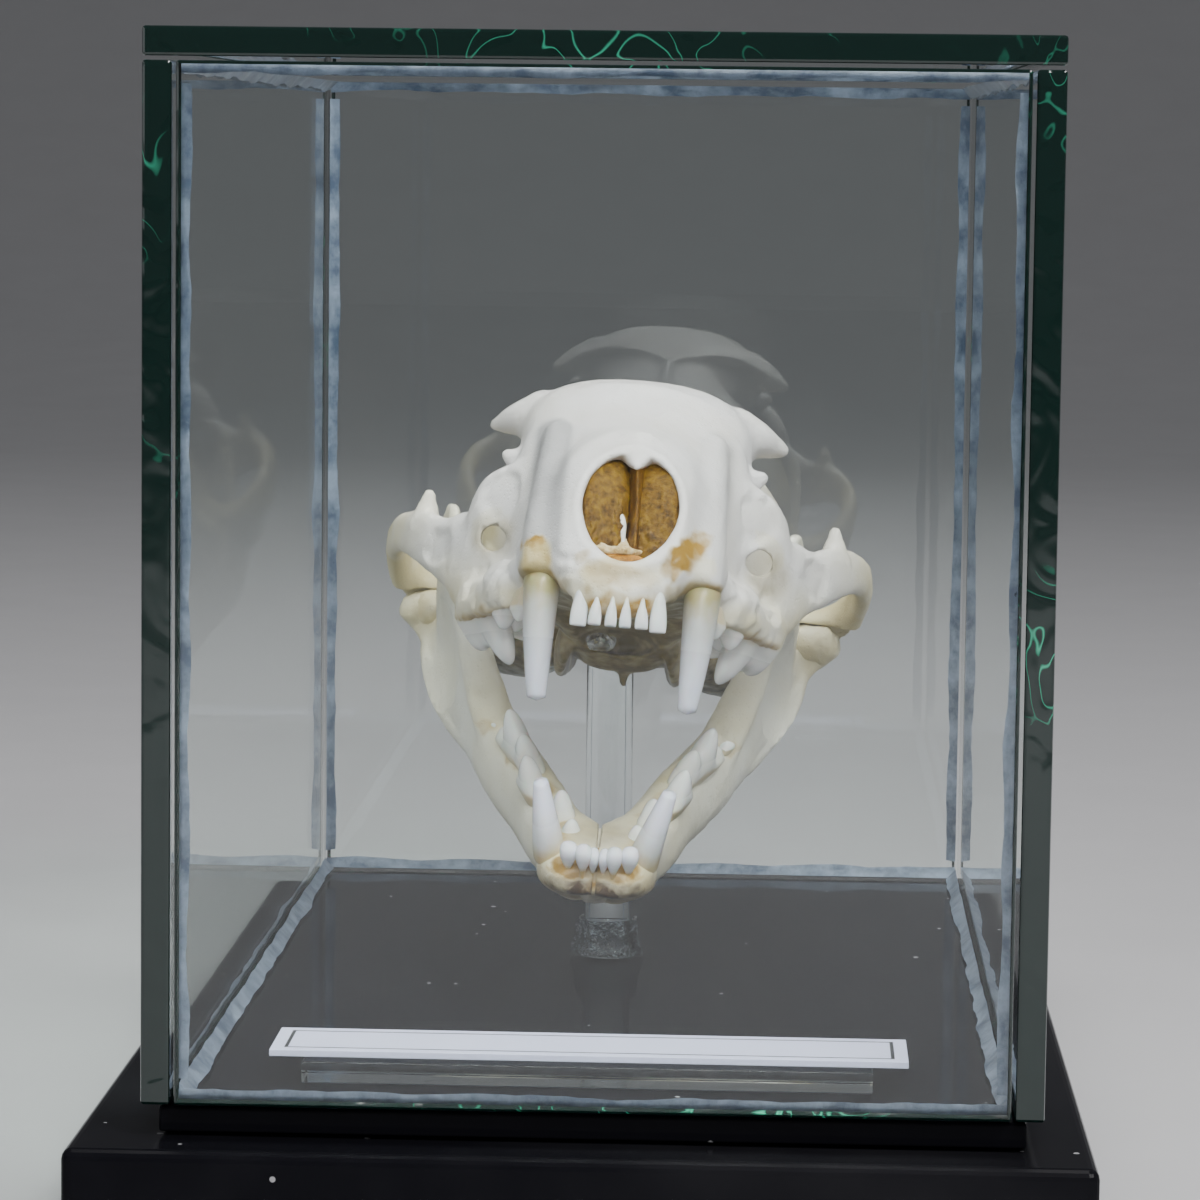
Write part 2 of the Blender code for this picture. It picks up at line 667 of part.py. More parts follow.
def upper_teeth():
    one_side = [fang((6.35, 5.9, 3.4), (5.92, 6.7, -7.7), (1.5, 1.95), (0.75, 0.75), (0.1, -0.75, 0))]
    for x, d, height, width in UPPER_INCISORS:
        one_side.append(incisor((x, d + 0.6, 1.8), (x * 1.01, d, -height), width, 1.5))
    for x, d, heading, lean, profile in UPPER_CHEEK:
        one_side.append(cheek_tooth(x, d, heading, lean, profile, gum=-d * GUM_SLOPE, rise=-1))
    return both_sides(one_side)


# The lower jaw, in its own frame: x, forward from the joint, up from the joint

GUM = -3.0  # height of the lower gum line


def jaw_masses():
    """One half of the lower jaw: body, upright branch and condyle."""
    body = sweep([
        (0.8, 41.9, -4.0, 2.0, 1.0),
        (1.0, 40.8, -4.3, 2.8, 1.5),
        (1.3, 39.0, -4.6, 3.4, 2.0),
        (1.4, 36.8, -5.2, 3.5, 2.6),
        (1.7, 34.2, -5.8, 3.2, 3.0),
        (2.7, 32.2, -6.2, 2.6, 3.3),
        (3.6, 30.4, -6.4, 2.2, 3.4),
        (4.6, 28.0, -6.4, 2.15, 3.5),
        (6.2, 23.0, -6.4, 2.2, 3.6),
        (8.1, 18.0, -6.3, 2.25, 3.6),
        (9.8, 13.0, -6.0, 2.2, 3.5),
        (11.5, 8.6, -5.4, 1.8, 3.2),
        (13.2, 4.8, -4.4, 1.4, 2.8),
        (14.6, 1.6, -2.4, 1.3, 2.0),
        (15.4, 0.2, -0.4, 1.2, 1.3),
    ], bend=2.3)
    branch = sweep([
        (12.6, 8.2, -6.0, 6.0, 1.0),
        (13.0, 7.8, -3.0, 6.4, 0.85),
        (13.4, 7.4, 0.5, 6.0, 0.75),
        (13.9, 6.9, 4.5, 4.9, 0.7),
        (14.2, 6.3, 8.5, 3.5, 0.65),
        (14.3, 5.8, 11.2, 2.0, 0.55),
        (14.3, 5.5, 12.3, 0.9, 0.45),
    ], up=(1, 0.28, 0))
    low, high = CONDYLE_SPAN
    middle = (low + high) / 2
    condyle = sweep([
        (low - 0.2, 0, -0.1, 0.5, 0.5),
        (low + 0.5, 0, 0, 1.15, 1.15),
        (middle, 0, 0, CONDYLE_RADIUS, CONDYLE_RADIUS),
        (high - 1.2, 0, 0, CONDYLE_RADIUS, CONDYLE_RADIUS),
        (high, 0, 0.2, 0.9, 0.9),
    ], bend=2.0)
    neck = sweep([
        (16.3, 0.1, -0.4, 2.2, 1.0),
        (15.6, 0.8, -1.6, 1.6, 1.1),
        (14.9, 1.9, -3.0, 1.3, 1.3),
    ], up=(0, 1, 0))
    front_edge = sweep([
        (9.2, 16.0, -4.6, 1.9, 1.3),
        (10.6, 14.0, -1.6, 1.8, 1.2),
        (11.9, 12.2, 1.6, 1.5, 1.0),
        (13.0, 10.4, 5.0, 1.1, 0.8),
        (13.9, 8.4, 8.6, 0.75, 0.7),
        (14.3, 6.6, 11.6, 0.5, 0.5),
    ], up=(0, 1, 0))
    chin = blob((1.5, 36.4, -6.2), (2.3, 2.8, 2.1), tilt=12)
    return [body, branch, condyle, neck, front_edge, chin]


def jaw_details():
    """The rim under the muscle hollow, and the heel behind it."""
    lower_rim = sweep([
        (15.7, 0.8, -1.6, 0.9, 1.0),
        (15.5, 2.4, -3.6, 0.9, 1.0),
        (14.5, 4.8, -5.6, 0.9, 1.1),
        (12.7, 8.4, -6.9, 0.9, 1.2),
        (10.6, 13.0, -7.2, 1.0, 1.4),
    ])
    heel = spike((13.6, 4.4, -6.4), (14.6, -0.6, -5.4), 1.5, 0.7, flat=0.8)
    return [lower_rim, heel]


def jaw_hollows():
    """The chewing-muscle hollow on the outer side, and the flat joint of the two halves."""
    return [
        blob((16.0, 7.6, -1.4), (2.9, 5.0, 6.6), turn=17),
        box((-10, 20, -30), (GAP / 2, 60, 30)),
    ]


def lower_teeth():
    teeth = [fang((3.5, 37.6, GUM - 2.0), (5.15, 38.7, GUM + 6.0), (1.25, 1.7), (0.6, 0.6), (-0.1, 0.8, 0))]
    for x, forward, height, width in LOWER_INCISORS:
        root = (x, forward - 0.6, GUM - 1.8)
        teeth.append(incisor(root, (x * 1.04, forward + 0.5, GUM + height), width, 1.3))
    for x, forward, heading, lean, profile in LOWER_CHEEK:
        teeth.append(cheek_tooth(x, forward, heading, lean, profile, gum=GUM - 0.2, rise=1))
    return teeth


def build_skull(bone):
    cranium = fuse("cranium", cranium_masses(), cranium_details(), CRANIUM_TRIANGLES, VOXEL, CRANIUM_ROUNDS)
    combine(cranium, cranium_hollows(), "DIFFERENCE")
    combine(cranium, [nasal_tip(), *upper_teeth()], "UNION")
    place(cranium, skull_matrix(), bone)
    for name, side in (("jaw_left", 1), ("jaw_right", -1)):
        jaw = fuse(name, jaw_masses(), jaw_details(), JAW_TRIANGLES, JAW_VOXEL, JAW_ROUNDS)
        combine(jaw, jaw_hollows(), "DIFFERENCE")
        combine(jaw, lower_teeth(), "UNION")
        jaw.data.transform(jaw_matrix())
        if side < 0:
            jaw.data.transform(Matrix.Diagonal((-1, 1, 1, 1)))
        else:
            jaw.data.flip_normals()
        place(jaw, skull_matrix(), bone)


# The case

def add_box(name, low, high, material, bevel=0.0):
    piece = object_from(box(low, high), name)
    if bevel:
        edge = piece.modifiers.new("Edges", "BEVEL")
        edge.width = bevel
        edge.segments = 2
        edge.limit_method = "ANGLE"
        apply_modifiers(piece)
    piece.data.transform(case_matrix())
    piece.data.materials.clear()
    piece.data.materials.append(material)
    return piece


def build_glass(glass):
    """Four walls under a lid. The side walls run the full depth, front and back stand between them."""
    half_w, half_d = CASE_WIDTH / 2, CASE_DEPTH / 2
    wall_top = CASE_HEIGHT - GLASS - GAP
    inner = half_w - GLASS - GAP
    foot = GAP
    lid_low = CASE_HEIGHT - GLASS
    add_box("glass_lid", (-half_w, -half_d, lid_low), (half_w, half_d, CASE_HEIGHT), glass)
    for name, side in (("glass_side_right", -1), ("glass_side_left", 1)):
        near, far = sorted((side * (half_w - GLASS), side * half_w))
        add_box(name, (near, -half_d, foot), (far, half_d, wall_top), glass)
    for name, side in (("glass_front", -1), ("glass_back", 1)):
        near, far = sorted((side * (half_d - GLASS), side * half_d))
        add_box(name, (-inner, near, foot), (inner, far, wall_top), glass)


def fillet(name, start, end, leg_a, leg_b, material):
    """A glue bead: a three-sided strip in an inner corner, from start to end, with legs along two walls."""
    start, end = Vector(start), Vector(end)
    leg_a, leg_b = Vector(leg_a), Vector(leg_b)
    waist = (leg_a + leg_b) * BEAD_WAIST
    bm = bmesh.new()
    rings = [[point, point + leg_a, point + waist, point + leg_b] for point in (start, end)]
    add_loft(bm, rings)
    piece = object_from(bm, name)
    piece.data.transform(case_matrix())
    piece.data.materials.append(material)


def build_beads(glue):
    """Clear glue in the four upright corners, under the lid and along the floor."""
    x = CASE_WIDTH / 2 - GLASS - GAP
    y = CASE_DEPTH / 2 - GLASS - GAP
    top = CASE_HEIGHT - GLASS - GAP
    floor = GAP
    clear = BEAD + GAP
    for depth_name, dy in (("front", -1), ("back", 1)):
        for side_name, dx in (("right", -1), ("left", 1)):
            low, high = (dx * x, dy * y, floor + clear), (dx * x, dy * y, top - clear)
            fillet(f"glue_{depth_name}_{side_name}", low, high, (-dx * BEAD, 0, 0), (0, -dy * BEAD, 0), glue)
        for level_name, z, up in (("floor", floor, 1), ("lid", top, -1)):
            fillet(f"glue_{level_name}_{depth_name}", (-x, dy * y, z), (x, dy * y, z),
                   (0, -dy * BEAD, 0), (0, 0, up * BEAD), glue)
    for side_name, dx in (("right", -1), ("left", 1)):
        for level_name, z, up in (("floor", floor, 1), ("lid", top, -1)):
            fillet(f"glue_{level_name}_{side_name}", (dx * x, -y + clear, z), (dx * x, y - clear, z),
                   (-dx * BEAD, 0, 0), (0, 0, up * BEAD), glue)


def build_mount(rod, glue, black, paper, clear):
    half_w, half_d = BASE_WIDTH / 2, BASE_DEPTH / 2
    add_box("base", (-half_w - CASE_SHIFT, -half_d, -PLINTH_HEIGHT - BASE_HEIGHT),
            (half_w - CASE_SHIFT, half_d, -PLINTH_HEIGHT), black, bevel=BASE_BEVEL)
    add_box("plinth", (-PLINTH_WIDTH / 2, -PLINTH_DEPTH / 2, -PLINTH_HEIGHT + GAP),
            (PLINTH_WIDTH / 2, PLINTH_DEPTH / 2, 0), black)
    bm = bmesh.new()
    add_loft(bm, [circle(ROD_PLACE, ROD_RADIUS, height) for height in (GAP, ROD_HEIGHT)])
    place(object_from(bm, "support_rod"), case_matrix(), rod)
    hole = ROD_RADIUS + GAP
    profile = [(hole, GAP), (ROD_FOOT_RADIUS, GAP), (ROD_FOOT_RADIUS * 0.9, 1.0),
               (hole + 0.35, ROD_FOOT_HEIGHT), (hole, ROD_FOOT_HEIGHT)]
    bm = bmesh.new()
    loops = []
    for radius, height in profile:
        loops.append([bm.verts.new(point) for point in circle(ROD_PLACE, radius, height)])
    for first, second in zip(loops, loops[1:] + loops[:1]):
        for i in range(ROUND_SIDES):
            j = (i + 1) % ROUND_SIDES
            bm.faces.new((first[i], first[j], second[j], second[i]))
    place(object_from(bm, "rod_foot_glue"), case_matrix(), glue)
    x, y = BLOCK_PLACE
    wide, deep, tall = BLOCK_SIZE
    add_box("label_block", (x - wide / 2, y - deep / 2, GAP), (x + wide / 2, y + deep / 2, tall), clear)
    x, y = LABEL_PLACE
    wide, deep, thick = LABEL_SIZE
    low = (x - wide / 2, y - deep / 2, tall + GAP)
    add_box("label", low, (x + wide / 2, y + deep / 2, tall + GAP + thick), paper)


def main():
    clear_scene()
    bone = make_material("bone", (0.80, 0.77, 0.68), 0.45)
    glass = make_material("glass", (0.85, 0.93, 0.90), 0.02, transmission=1.0)
    glue = make_material("glue", (0.62, 0.68, 0.72), 0.25, transmission=0.5)
    clear = make_material("acrylic", (0.90, 0.91, 0.92), 0.08, transmission=1.0)
    black = make_material("black_gloss", (0.010, 0.010, 0.012), 0.15)
    paper = make_material("paper", (0.82, 0.83, 0.90), 0.7)
    build_skull(bone)
    build_glass(glass)
    build_beads(glue)
    build_mount(clear, glue, black, paper, clear)


main()
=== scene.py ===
"""The looks of a polecat skull on a clear rod in a small glass display case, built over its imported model.

The case is shaped in millimetres about the middle of its own footprint, and the skull in millimetres in its
own frame: x across, d back from the front of the upper jaw, z up from the gum line of the upper incisors.
"""

import math
import random

import bmesh
import bpy
from mathutils import Matrix, Vector, noise


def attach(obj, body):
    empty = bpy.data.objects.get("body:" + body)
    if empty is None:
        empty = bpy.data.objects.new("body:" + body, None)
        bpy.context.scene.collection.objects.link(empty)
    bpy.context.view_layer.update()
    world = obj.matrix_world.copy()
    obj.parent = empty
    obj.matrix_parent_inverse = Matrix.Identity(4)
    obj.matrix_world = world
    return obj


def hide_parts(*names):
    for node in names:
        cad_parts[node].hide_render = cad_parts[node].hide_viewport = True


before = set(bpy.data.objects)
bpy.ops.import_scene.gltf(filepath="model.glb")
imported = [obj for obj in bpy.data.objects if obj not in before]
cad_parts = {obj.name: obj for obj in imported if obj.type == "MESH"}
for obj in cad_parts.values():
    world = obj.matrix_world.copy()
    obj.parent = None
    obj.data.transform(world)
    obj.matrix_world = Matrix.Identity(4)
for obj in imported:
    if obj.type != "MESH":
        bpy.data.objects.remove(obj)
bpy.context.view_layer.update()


# Black base and plinth: two boards of gloss black plastic, the edges of the lower one eased by hand.
# The plinth fills the foot of the case and is dusty from the time when the case was closed.
MM = 0.001
case_to_world = Matrix.Scale(MM, 4) @ Matrix.Translation((0.7, 0.0, 12.2))


def eased_block(low, high, ease, segments=3):
    """A block between two corners, with its edges eased."""
    bm = bmesh.new()
    bmesh.ops.create_cube(bm, size=1.0)
    bmesh.ops.scale(bm, vec=[b - a for a, b in zip(low, high)], verts=bm.verts)
    bmesh.ops.translate(bm, vec=[(a + b) / 2 for a, b in zip(low, high)], verts=bm.verts)
    bmesh.ops.bevel(bm, geom=bm.edges, offset=ease, segments=segments, profile=0.5, affect="EDGES", material=-1)
    return bm


def new_object(name, data):
    """An object in the scene."""
    made = bpy.data.objects.new(name, data)
    bpy.context.scene.collection.objects.link(made)
    return made


def object_from(bm, name, outward=True):
    """An object with the form as its mesh. outward turns all its faces to the outside."""
    if outward:
        bmesh.ops.recalc_face_normals(bm, faces=bm.faces)
    mesh = bpy.data.meshes.new(name)
    bm.to_mesh(mesh)
    bm.free()
    return new_object(name, mesh)


def finish(piece, materials, nodes):
    """Makes an object a piece of the case's one body, that stands for the named solids."""
    for material in materials:
        piece.data.materials.append(material)
    piece.data.shade_smooth()
    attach(piece, "root")
    if nodes:
        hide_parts(*nodes)


def piece_from(bm, name, to_world, materials, nodes=(), sharp=40):
    """A finished piece made from a form, with its edges sharp from an angle in degrees."""
    bmesh.ops.transform(bm, matrix=to_world, verts=bm.verts)
    piece = object_from(bm, name)
    finish(piece, materials, nodes)
    piece.data.set_sharp_from_angle(angle=math.radians(sharp))


def start_material(name, **settings):
    """A material with these values on its own shader, and its node tree and shader."""
    material = bpy.data.materials.new(name)
    material.use_nodes = True
    shader = material.node_tree.nodes["Principled BSDF"]
    for label, value in settings.items():
        shader.inputs[label.replace("_", " ")].default_value = value
    return material, material.node_tree, shader


def feed(tree, node, terms=(), **inputs):
    """Gives a node's inputs these values. A pair of a node and the name of its output is linked instead."""
    named = [(node.inputs[label.replace("_", " ")], value) for label, value in inputs.items()]
    for socket, value in [*zip(node.inputs, terms), *named]:
        if isinstance(value, tuple) and isinstance(value[0], bpy.types.Node):
            tree.links.new(value[0].outputs[value[1]], socket)
        else:
            socket.default_value = value


def add_node(tree, kind, terms=(), **settings):
    """A node with these values. Names in capitals such as Scale are its inputs, others its own settings."""
    node = tree.nodes.new(kind)
    for label, value in settings.items():
        if label[0].islower():
            setattr(node, label, value)
    feed(tree, node, terms, **{label: value for label, value in settings.items() if label[0].isupper()})
    return node


def add_math(tree, operation, *terms, **settings):
    return add_node(tree, "ShaderNodeMath", terms, operation=operation, **settings)


def add_mix(tree, factor, first, second):
    return add_node(tree, "ShaderNodeMix", data_type="RGBA", Factor=factor, A=first, B=second)


def add_texture(tree, kind, **settings):
    """A texture that is read at each point's place on the object."""
    place = add_node(tree, "ShaderNodeTexCoord")
    return add_node(tree, "ShaderNodeTex" + kind, Vector=(place, "Object"), **settings)


def new_group(name, inputs, outputs):
    """An empty node group and the nodes of its inputs and outputs. A colour input has no value of its own."""
    group = bpy.data.node_groups.new(name, "ShaderNodeTree")
    for label, value in inputs.items():
        kind = "NodeSocketColor" if value is None else "NodeSocketFloat"
        socket = group.interface.new_socket(label, in_out="INPUT", socket_type=kind)
        if value is not None:
            socket.default_value = value
    for label in outputs:
        kind = "NodeSocketColor" if label == "Color" else "NodeSocketFloat"
        group.interface.new_socket(label, in_out="OUTPUT", socket_type=kind)
    return group, group.nodes.new("NodeGroupInput"), group.nodes.new("NodeGroupOutput")


# Dust: loose specks of many sizes, one in each cell of a fine pattern, and a soft haze between them.
LARGEST_SPECK = 0.11  # its radius over the size of a cell
dust, dust_in, dust_out = new_group("Dust", dict(Spacing=300.0, Share=0.5, Haze=0.1), ["Amount"])
dust_cells = add_texture(dust, "Voronoi", feature="F1", Scale=(dust_in, "Spacing"))
dust_size = add_node(dust, "ShaderNodeSeparateColor", Color=(dust_cells, "Color"))
dust_edge = add_math(dust, "MULTIPLY", (dust_size, "Red"), LARGEST_SPECK)
dust_speck = add_math(dust, "LESS_THAN", (dust_cells, "Distance"), (dust_edge, "Value"))
dust_kept = add_math(dust, "LESS_THAN", (dust_size, "Green"), (dust_in, "Share"))
dust_both = add_math(dust, "MULTIPLY", (dust_speck, "Value"), (dust_kept, "Value"))
dust_cloud = add_texture(dust, "Noise", Scale=45.0, Detail=4.0)
dust_soft = add_node(dust, "ShaderNodeMapRange", Value=(dust_cloud, "Fac"), From_Min=0.45, From_Max=0.8)
dust_haze = add_math(dust, "MULTIPLY", (dust_soft, "Result"), (dust_in, "Haze"))
dust_sum = add_math(dust, "MAXIMUM", (dust_both, "Value"), (dust_haze, "Value"))
feed(dust, dust_out, Amount=(dust_sum, "Value"))


def gloss_black(name, spacing, share, haze, roughness):
    """Polished black plastic with dust on it."""
    material, tree, shader = start_material(name, Specular_IOR_Level=0.1, IOR=1.25)
    dusty = add_node(tree, "ShaderNodeGroup", node_tree=dust, Spacing=spacing, Share=share, Haze=haze)
    tone = add_mix(tree, (dusty, "Amount"), (0.006, 0.006, 0.008, 1.0), (0.34, 0.34, 0.35, 1.0))
    dull = add_node(tree, "ShaderNodeMapRange", Value=(dusty, "Amount"), To_Min=roughness, To_Max=0.8)
    feed(tree, shader, Base_Color=(tone, "Result"), Roughness=(dull, "Result"))
    return material


base_low, base_high = (-37.7, -60.0, -12.2), (36.3, 60.0, -2.2)
piece_from(eased_block(base_low, base_high, 0.8, segments=4), "display_base", case_to_world,
           [gloss_black("Base lacquer", 330.0, 0.3, 0.03, 0.16)], ["base"], sharp=10)
plinth_low, plinth_high = (-31.3, -54.8, -1.9), (31.3, 54.8, 0.0)
piece_from(eased_block(plinth_low, plinth_high, 0.2), "case_floor", case_to_world,
           [gloss_black("Case floor gloss", 420.0, 0.22, 0.0, 0.07)], ["plinth"], sharp=10)


# Glass walls and lid: five panes of 2 mm window glass cut by hand. The side walls run the full depth, the
# front and back stand between them and the lid lies on top. The cut edges are dark green, with bright green
# ripples that are painted glint.
GLASS = 2.1
GAP = 0.3
CASE_HALF_WIDTH = 32.5
CASE_HALF_DEPTH = 56.0
CASE_HEIGHT = 77.5
PANE_EASE = 0.22
SMALLEST_BROAD_FACE = 1500  # in square millimetres


def add_ramp(tree, factor, *stops):
    """A colour ramp through these stops, each a position and a colour."""
    node = add_node(tree, "ShaderNodeValToRGB", Fac=factor)
    elements = node.color_ramp.elements
    for index, (position, colour) in ((0, stops[0]), (1, stops[-1])):
        elements[index].position = position
        elements[index].color = (*colour, 1.0)
    for position, colour in stops[1:-1]:
        elements.new(position).color = (*colour, 1.0)
    return node


def bumped(tree, shader, height, strength, distance):
    relief = add_node(tree, "ShaderNodeBump", Strength=strength, Distance=distance, Height=height)
    feed(tree, shader, Normal=(relief, "Normal"))


def lets_light_through(tree, shader, colour):
    """Light passes straight through the material on its way to what lies behind it."""
    rays = add_node(tree, "ShaderNodeLightPath")
    through = add_node(tree, "ShaderNodeBsdfTransparent", Color=(*colour, 1.0))
    either = add_node(tree, "ShaderNodeMixShader", [(rays, "Is Shadow Ray"), (shader, "BSDF"), (through, "BSDF")])
    feed(tree, tree.nodes["Material Output"], Surface=(either, "Shader"))


clear_glass, glass_tree, glass_shader = start_material(
    "Window glass", Base_Color=(0.955, 0.985, 0.975, 1.0), Transmission_Weight=1.0, IOR=1.5, Roughness=0.0)
lets_light_through(glass_tree, glass_shader, (0.93, 0.97, 0.95))

cut_edge, edge_tree, edge_shader = start_material("Cut glass edge", Roughness=0.06, IOR=1.5, Coat_Weight=0.6)
ripple_and_glint = add_texture(edge_tree, "Noise", Scale=170.0, Detail=1.0, Distortion=1.6)
# painted glint: thin bright green lines along the ripples, kept only in patches, stand in for light caught in the
# cut edges
painted_glint_line = add_ramp(edge_tree, (ripple_and_glint, "Fac"), (0.525, (0, 0, 0)), (0.54, (1, 1, 1)), (0.555, (0, 0, 0)))
glint_spread_noise = add_texture(edge_tree, "Noise", Scale=55.0, Detail=0.0)
glint_spread = add_node(edge_tree, "ShaderNodeMapRange", Value=(glint_spread_noise, "Fac"), From_Min=0.48, From_Max=0.66)
glint_share = add_math(edge_tree, "MULTIPLY", (painted_glint_line, "Color"), (glint_spread, "Result"))
glint = add_mix(edge_tree, (glint_share, "Value"), (0.003, 0.014, 0.011, 1.0), (0.05, 0.50, 0.30, 1.0))
feed(edge_tree, edge_shader, Base_Color=(glint, "Result"))
bumped(edge_tree, edge_shader, (ripple_and_glint, "Fac"), 0.35, 0.0005)

lid_low = CASE_HEIGHT - GLASS
inner_x = CASE_HALF_WIDTH - GLASS
across = (-CASE_HALF_WIDTH, CASE_HALF_WIDTH)
between = (GAP - inner_x, inner_x - GAP)
depth = (-CASE_HALF_DEPTH, CASE_HALF_DEPTH)
upright = (GAP, lid_low - GAP)
for name, node, *spans in (
    ("lid", "glass_lid", across, depth, (lid_low, CASE_HEIGHT)),
    ("right_wall", "glass_side_right", (-CASE_HALF_WIDTH, -inner_x), depth, upright),
    ("left_wall", "glass_side_left", (inner_x, CASE_HALF_WIDTH), depth, upright),
    ("front_wall", "glass_front", between, (-CASE_HALF_DEPTH, GLASS - CASE_HALF_DEPTH), upright),
    ("back_wall", "glass_back", between, (CASE_HALF_DEPTH - GLASS, CASE_HALF_DEPTH), upright),
):
    low, high = zip(*spans)
    pane = eased_block(low, high, PANE_EASE, segments=2)
    for face in pane.faces:
        face.material_index = 0 if face.calc_area() > SMALLEST_BROAD_FACE else 1
    piece_from(pane, name, case_to_world, [clear_glass, cut_edge], [node], sharp=10)


# Glue seams: clear glue run along every inner corner of the case by hand. It has set milky and bluish, with
# ripples and thin places.
BEAD = 1.3
RING_SPACING = 0.9
seam_glue, seam_tree, seam_shader = start_material(
    "Set glue", Transmission_Weight=0.55, IOR=1.45, Coat_Weight=0.5, Coat_Roughness=0.1)
milk = add_texture(seam_tree, "Noise", Scale=420.0, Detail=5.0, Roughness=0.65)
milk_tone = add_ramp(seam_tree, (milk, "Fac"), (0.38, (0.09, 0.13, 0.21)), (0.66, (0.40, 0.48, 0.62)))
milk_rough = add_node(seam_tree, "ShaderNodeMapRange", Value=(milk, "Fac"), To_Min=0.18, To_Max=0.55)
feed(seam_tree, seam_shader, Base_Color=(milk_tone, "Color"), Roughness=(milk_rough, "Result"))
bumped(seam_tree, seam_shader, (milk, "Fac"), 0.6, 0.0004)


def add_tube(bm, rings, sides, place):
    """A closed tube. place gives the point of each ring at a point (across, up) of the unit circle."""
    before = len(bm.verts)
    made = bmesh.ops.create_cone(bm, cap_ends=True, segments=sides, radius1=1.0, radius2=1.0, depth=rings - 1)
    edges = dict.fromkeys(edge for vert in made["verts"] for edge in vert.link_edges)
    lengthwise = [edge for edge in edges if abs(edge.verts[0].co.z - edge.verts[1].co.z) > 0.5]
    if rings > 2:
        bmesh.ops.subdivide_edges(bm, edges=lengthwise, cuts=rings - 2)
    bm.verts.ensure_lookup_table()
    verts = bm.verts[before:]
    for vert in verts:
        vert.co = place(round(vert.co.z + (rings - 1) / 2), vert.co.x, vert.co.y)
    return verts


def glue_run(name, node, start, end, leg_a, leg_b, seed):
    """A run of glue in an inner corner, with legs of changing length along its two walls."""
    start, end, leg_a, leg_b = Vector(start), Vector(end), Vector(leg_a), Vector(leg_b)
    rings = max(round((end - start).length / RING_SPACING), 3)
    chance = random.Random(seed)
    reach = []
    for ring in range(rings):
        waves = [0.62 + 0.26 * noise.noise(Vector((ring * 0.16, seed * 3.7, wall * 9.1))) for wall in (0, 1)]
        reach.append([min(wave + 0.07 * chance.random(), 1.0) for wave in waves])
    bm = bmesh.new()

    def fillet_point(ring, across, up):
        a, b = reach[ring]
        corner = start.lerp(end, ring / (rings - 1))
        side = round(math.atan2(up, across) / (math.pi / 3)) % 6
        shares = [(0.0, 0.0), (a / 2, 0.0), (a, 0.0), (a * 0.52, b * 0.52), (0.0, b), (0.0, b / 2)][side]
        return corner + leg_a * shares[0] + leg_b * shares[1]

    add_tube(bm, rings, 6, fillet_point)
    piece_from(bm, name, case_to_world, [seam_glue], [node], sharp=80)


seam_x = CASE_HALF_WIDTH - GLASS - GAP
seam_y = CASE_HALF_DEPTH - GLASS - GAP
seam_top = CASE_HEIGHT - GLASS - GAP
clear = BEAD + GAP
seed = 0
for depth_name, dy in (("front", -1), ("back", 1)):
    for side_name, dx in (("right", -1), ("left", 1)):
        seed += 1
        glue_run(f"seam_{depth_name}_{side_name}", f"glue_{depth_name}_{side_name}",
                 (dx * seam_x, dy * seam_y, GAP + clear), (dx * seam_x, dy * seam_y, seam_top - clear),
                 (-dx * BEAD, 0, 0), (0, -dy * BEAD, 0), seed)
    for level_name, z, up in (("floor", GAP, 1), ("lid", seam_top, -1)):
        seed += 1
        glue_run(f"seam_{level_name}_{depth_name}", f"glue_{level_name}_{depth_name}",
                 (-seam_x, dy * seam_y, z), (seam_x, dy * seam_y, z), (0, -dy * BEAD, 0), (0, 0, up * BEAD), seed)
for side_name, dx in (("right", -1), ("left", 1)):
    for level_name, z, up in (("floor", GAP, 1), ("lid", seam_top, -1)):
        seed += 1
        glue_run(f"seam_{level_name}_{side_name}", f"glue_{level_name}_{side_name}",
                 (dx * seam_x, clear - seam_y, z), (dx * seam_x, seam_y - clear, z),
                 (-dx * BEAD, 0, 0), (0, 0, up * BEAD), seed)


# Label: a slip of white paper with a thin black frame line. It lies on a clear acrylic block that is stuck to
# the floor of the case just inside the front wall.
LABEL_LOW, LABEL_HIGH = (-24.2, -46.3, 2.2), (23.0, -37.9, 2.7)
LABEL_MARGIN = 0.95
LINE_WIDTH = 0.28
BLOCK_LOW, BLOCK_HIGH = (-21.8, -46.6, 0.3), (20.4, -40.6, 1.9)


def mottled(tree, shader, first, second, **pattern):
    """Colours a shader between two tones by a noise, which it gives back."""
    noise_node = add_texture(tree, "Noise", **pattern)
    tone = add_mix(tree, (noise_node, "Fac"), (*first, 1.0), (*second, 1.0))
    feed(tree, shader, Base_Color=(tone, "Result"))
    return noise_node


paper, paper_tree, paper_shader = start_material("Label paper", Sheen_Weight=0.1, Roughness=0.75)
fibre = mottled(paper_tree, paper_shader, (0.52, 0.53, 0.72), (0.60, 0.61, 0.80), Scale=2600.0, Detail=3.0)
bumped(paper_tree, paper_shader, (fibre, "Fac"), 0.15, 0.00005)
ink, ink_tree, ink_shader = start_material("Label ink", Roughness=0.6)
mottled(ink_tree, ink_shader, (0.010, 0.010, 0.012), (0.035, 0.035, 0.040), Scale=3000.0)

label = eased_block(LABEL_LOW, LABEL_HIGH, 0.04, segments=1)
top_face = max(label.faces, key=lambda face: face.calc_center_median().z)
bmesh.ops.inset_region(label, faces=[top_face], thickness=LABEL_MARGIN, use_even_offset=True)
frame_line = bmesh.ops.inset_region(label, faces=[top_face], thickness=LINE_WIDTH, use_even_offset=True)
for face in frame_line["faces"]:
    face.material_index = 1
piece_from(label, "label_slip", case_to_world, [paper, ink], ["label"], sharp=10)

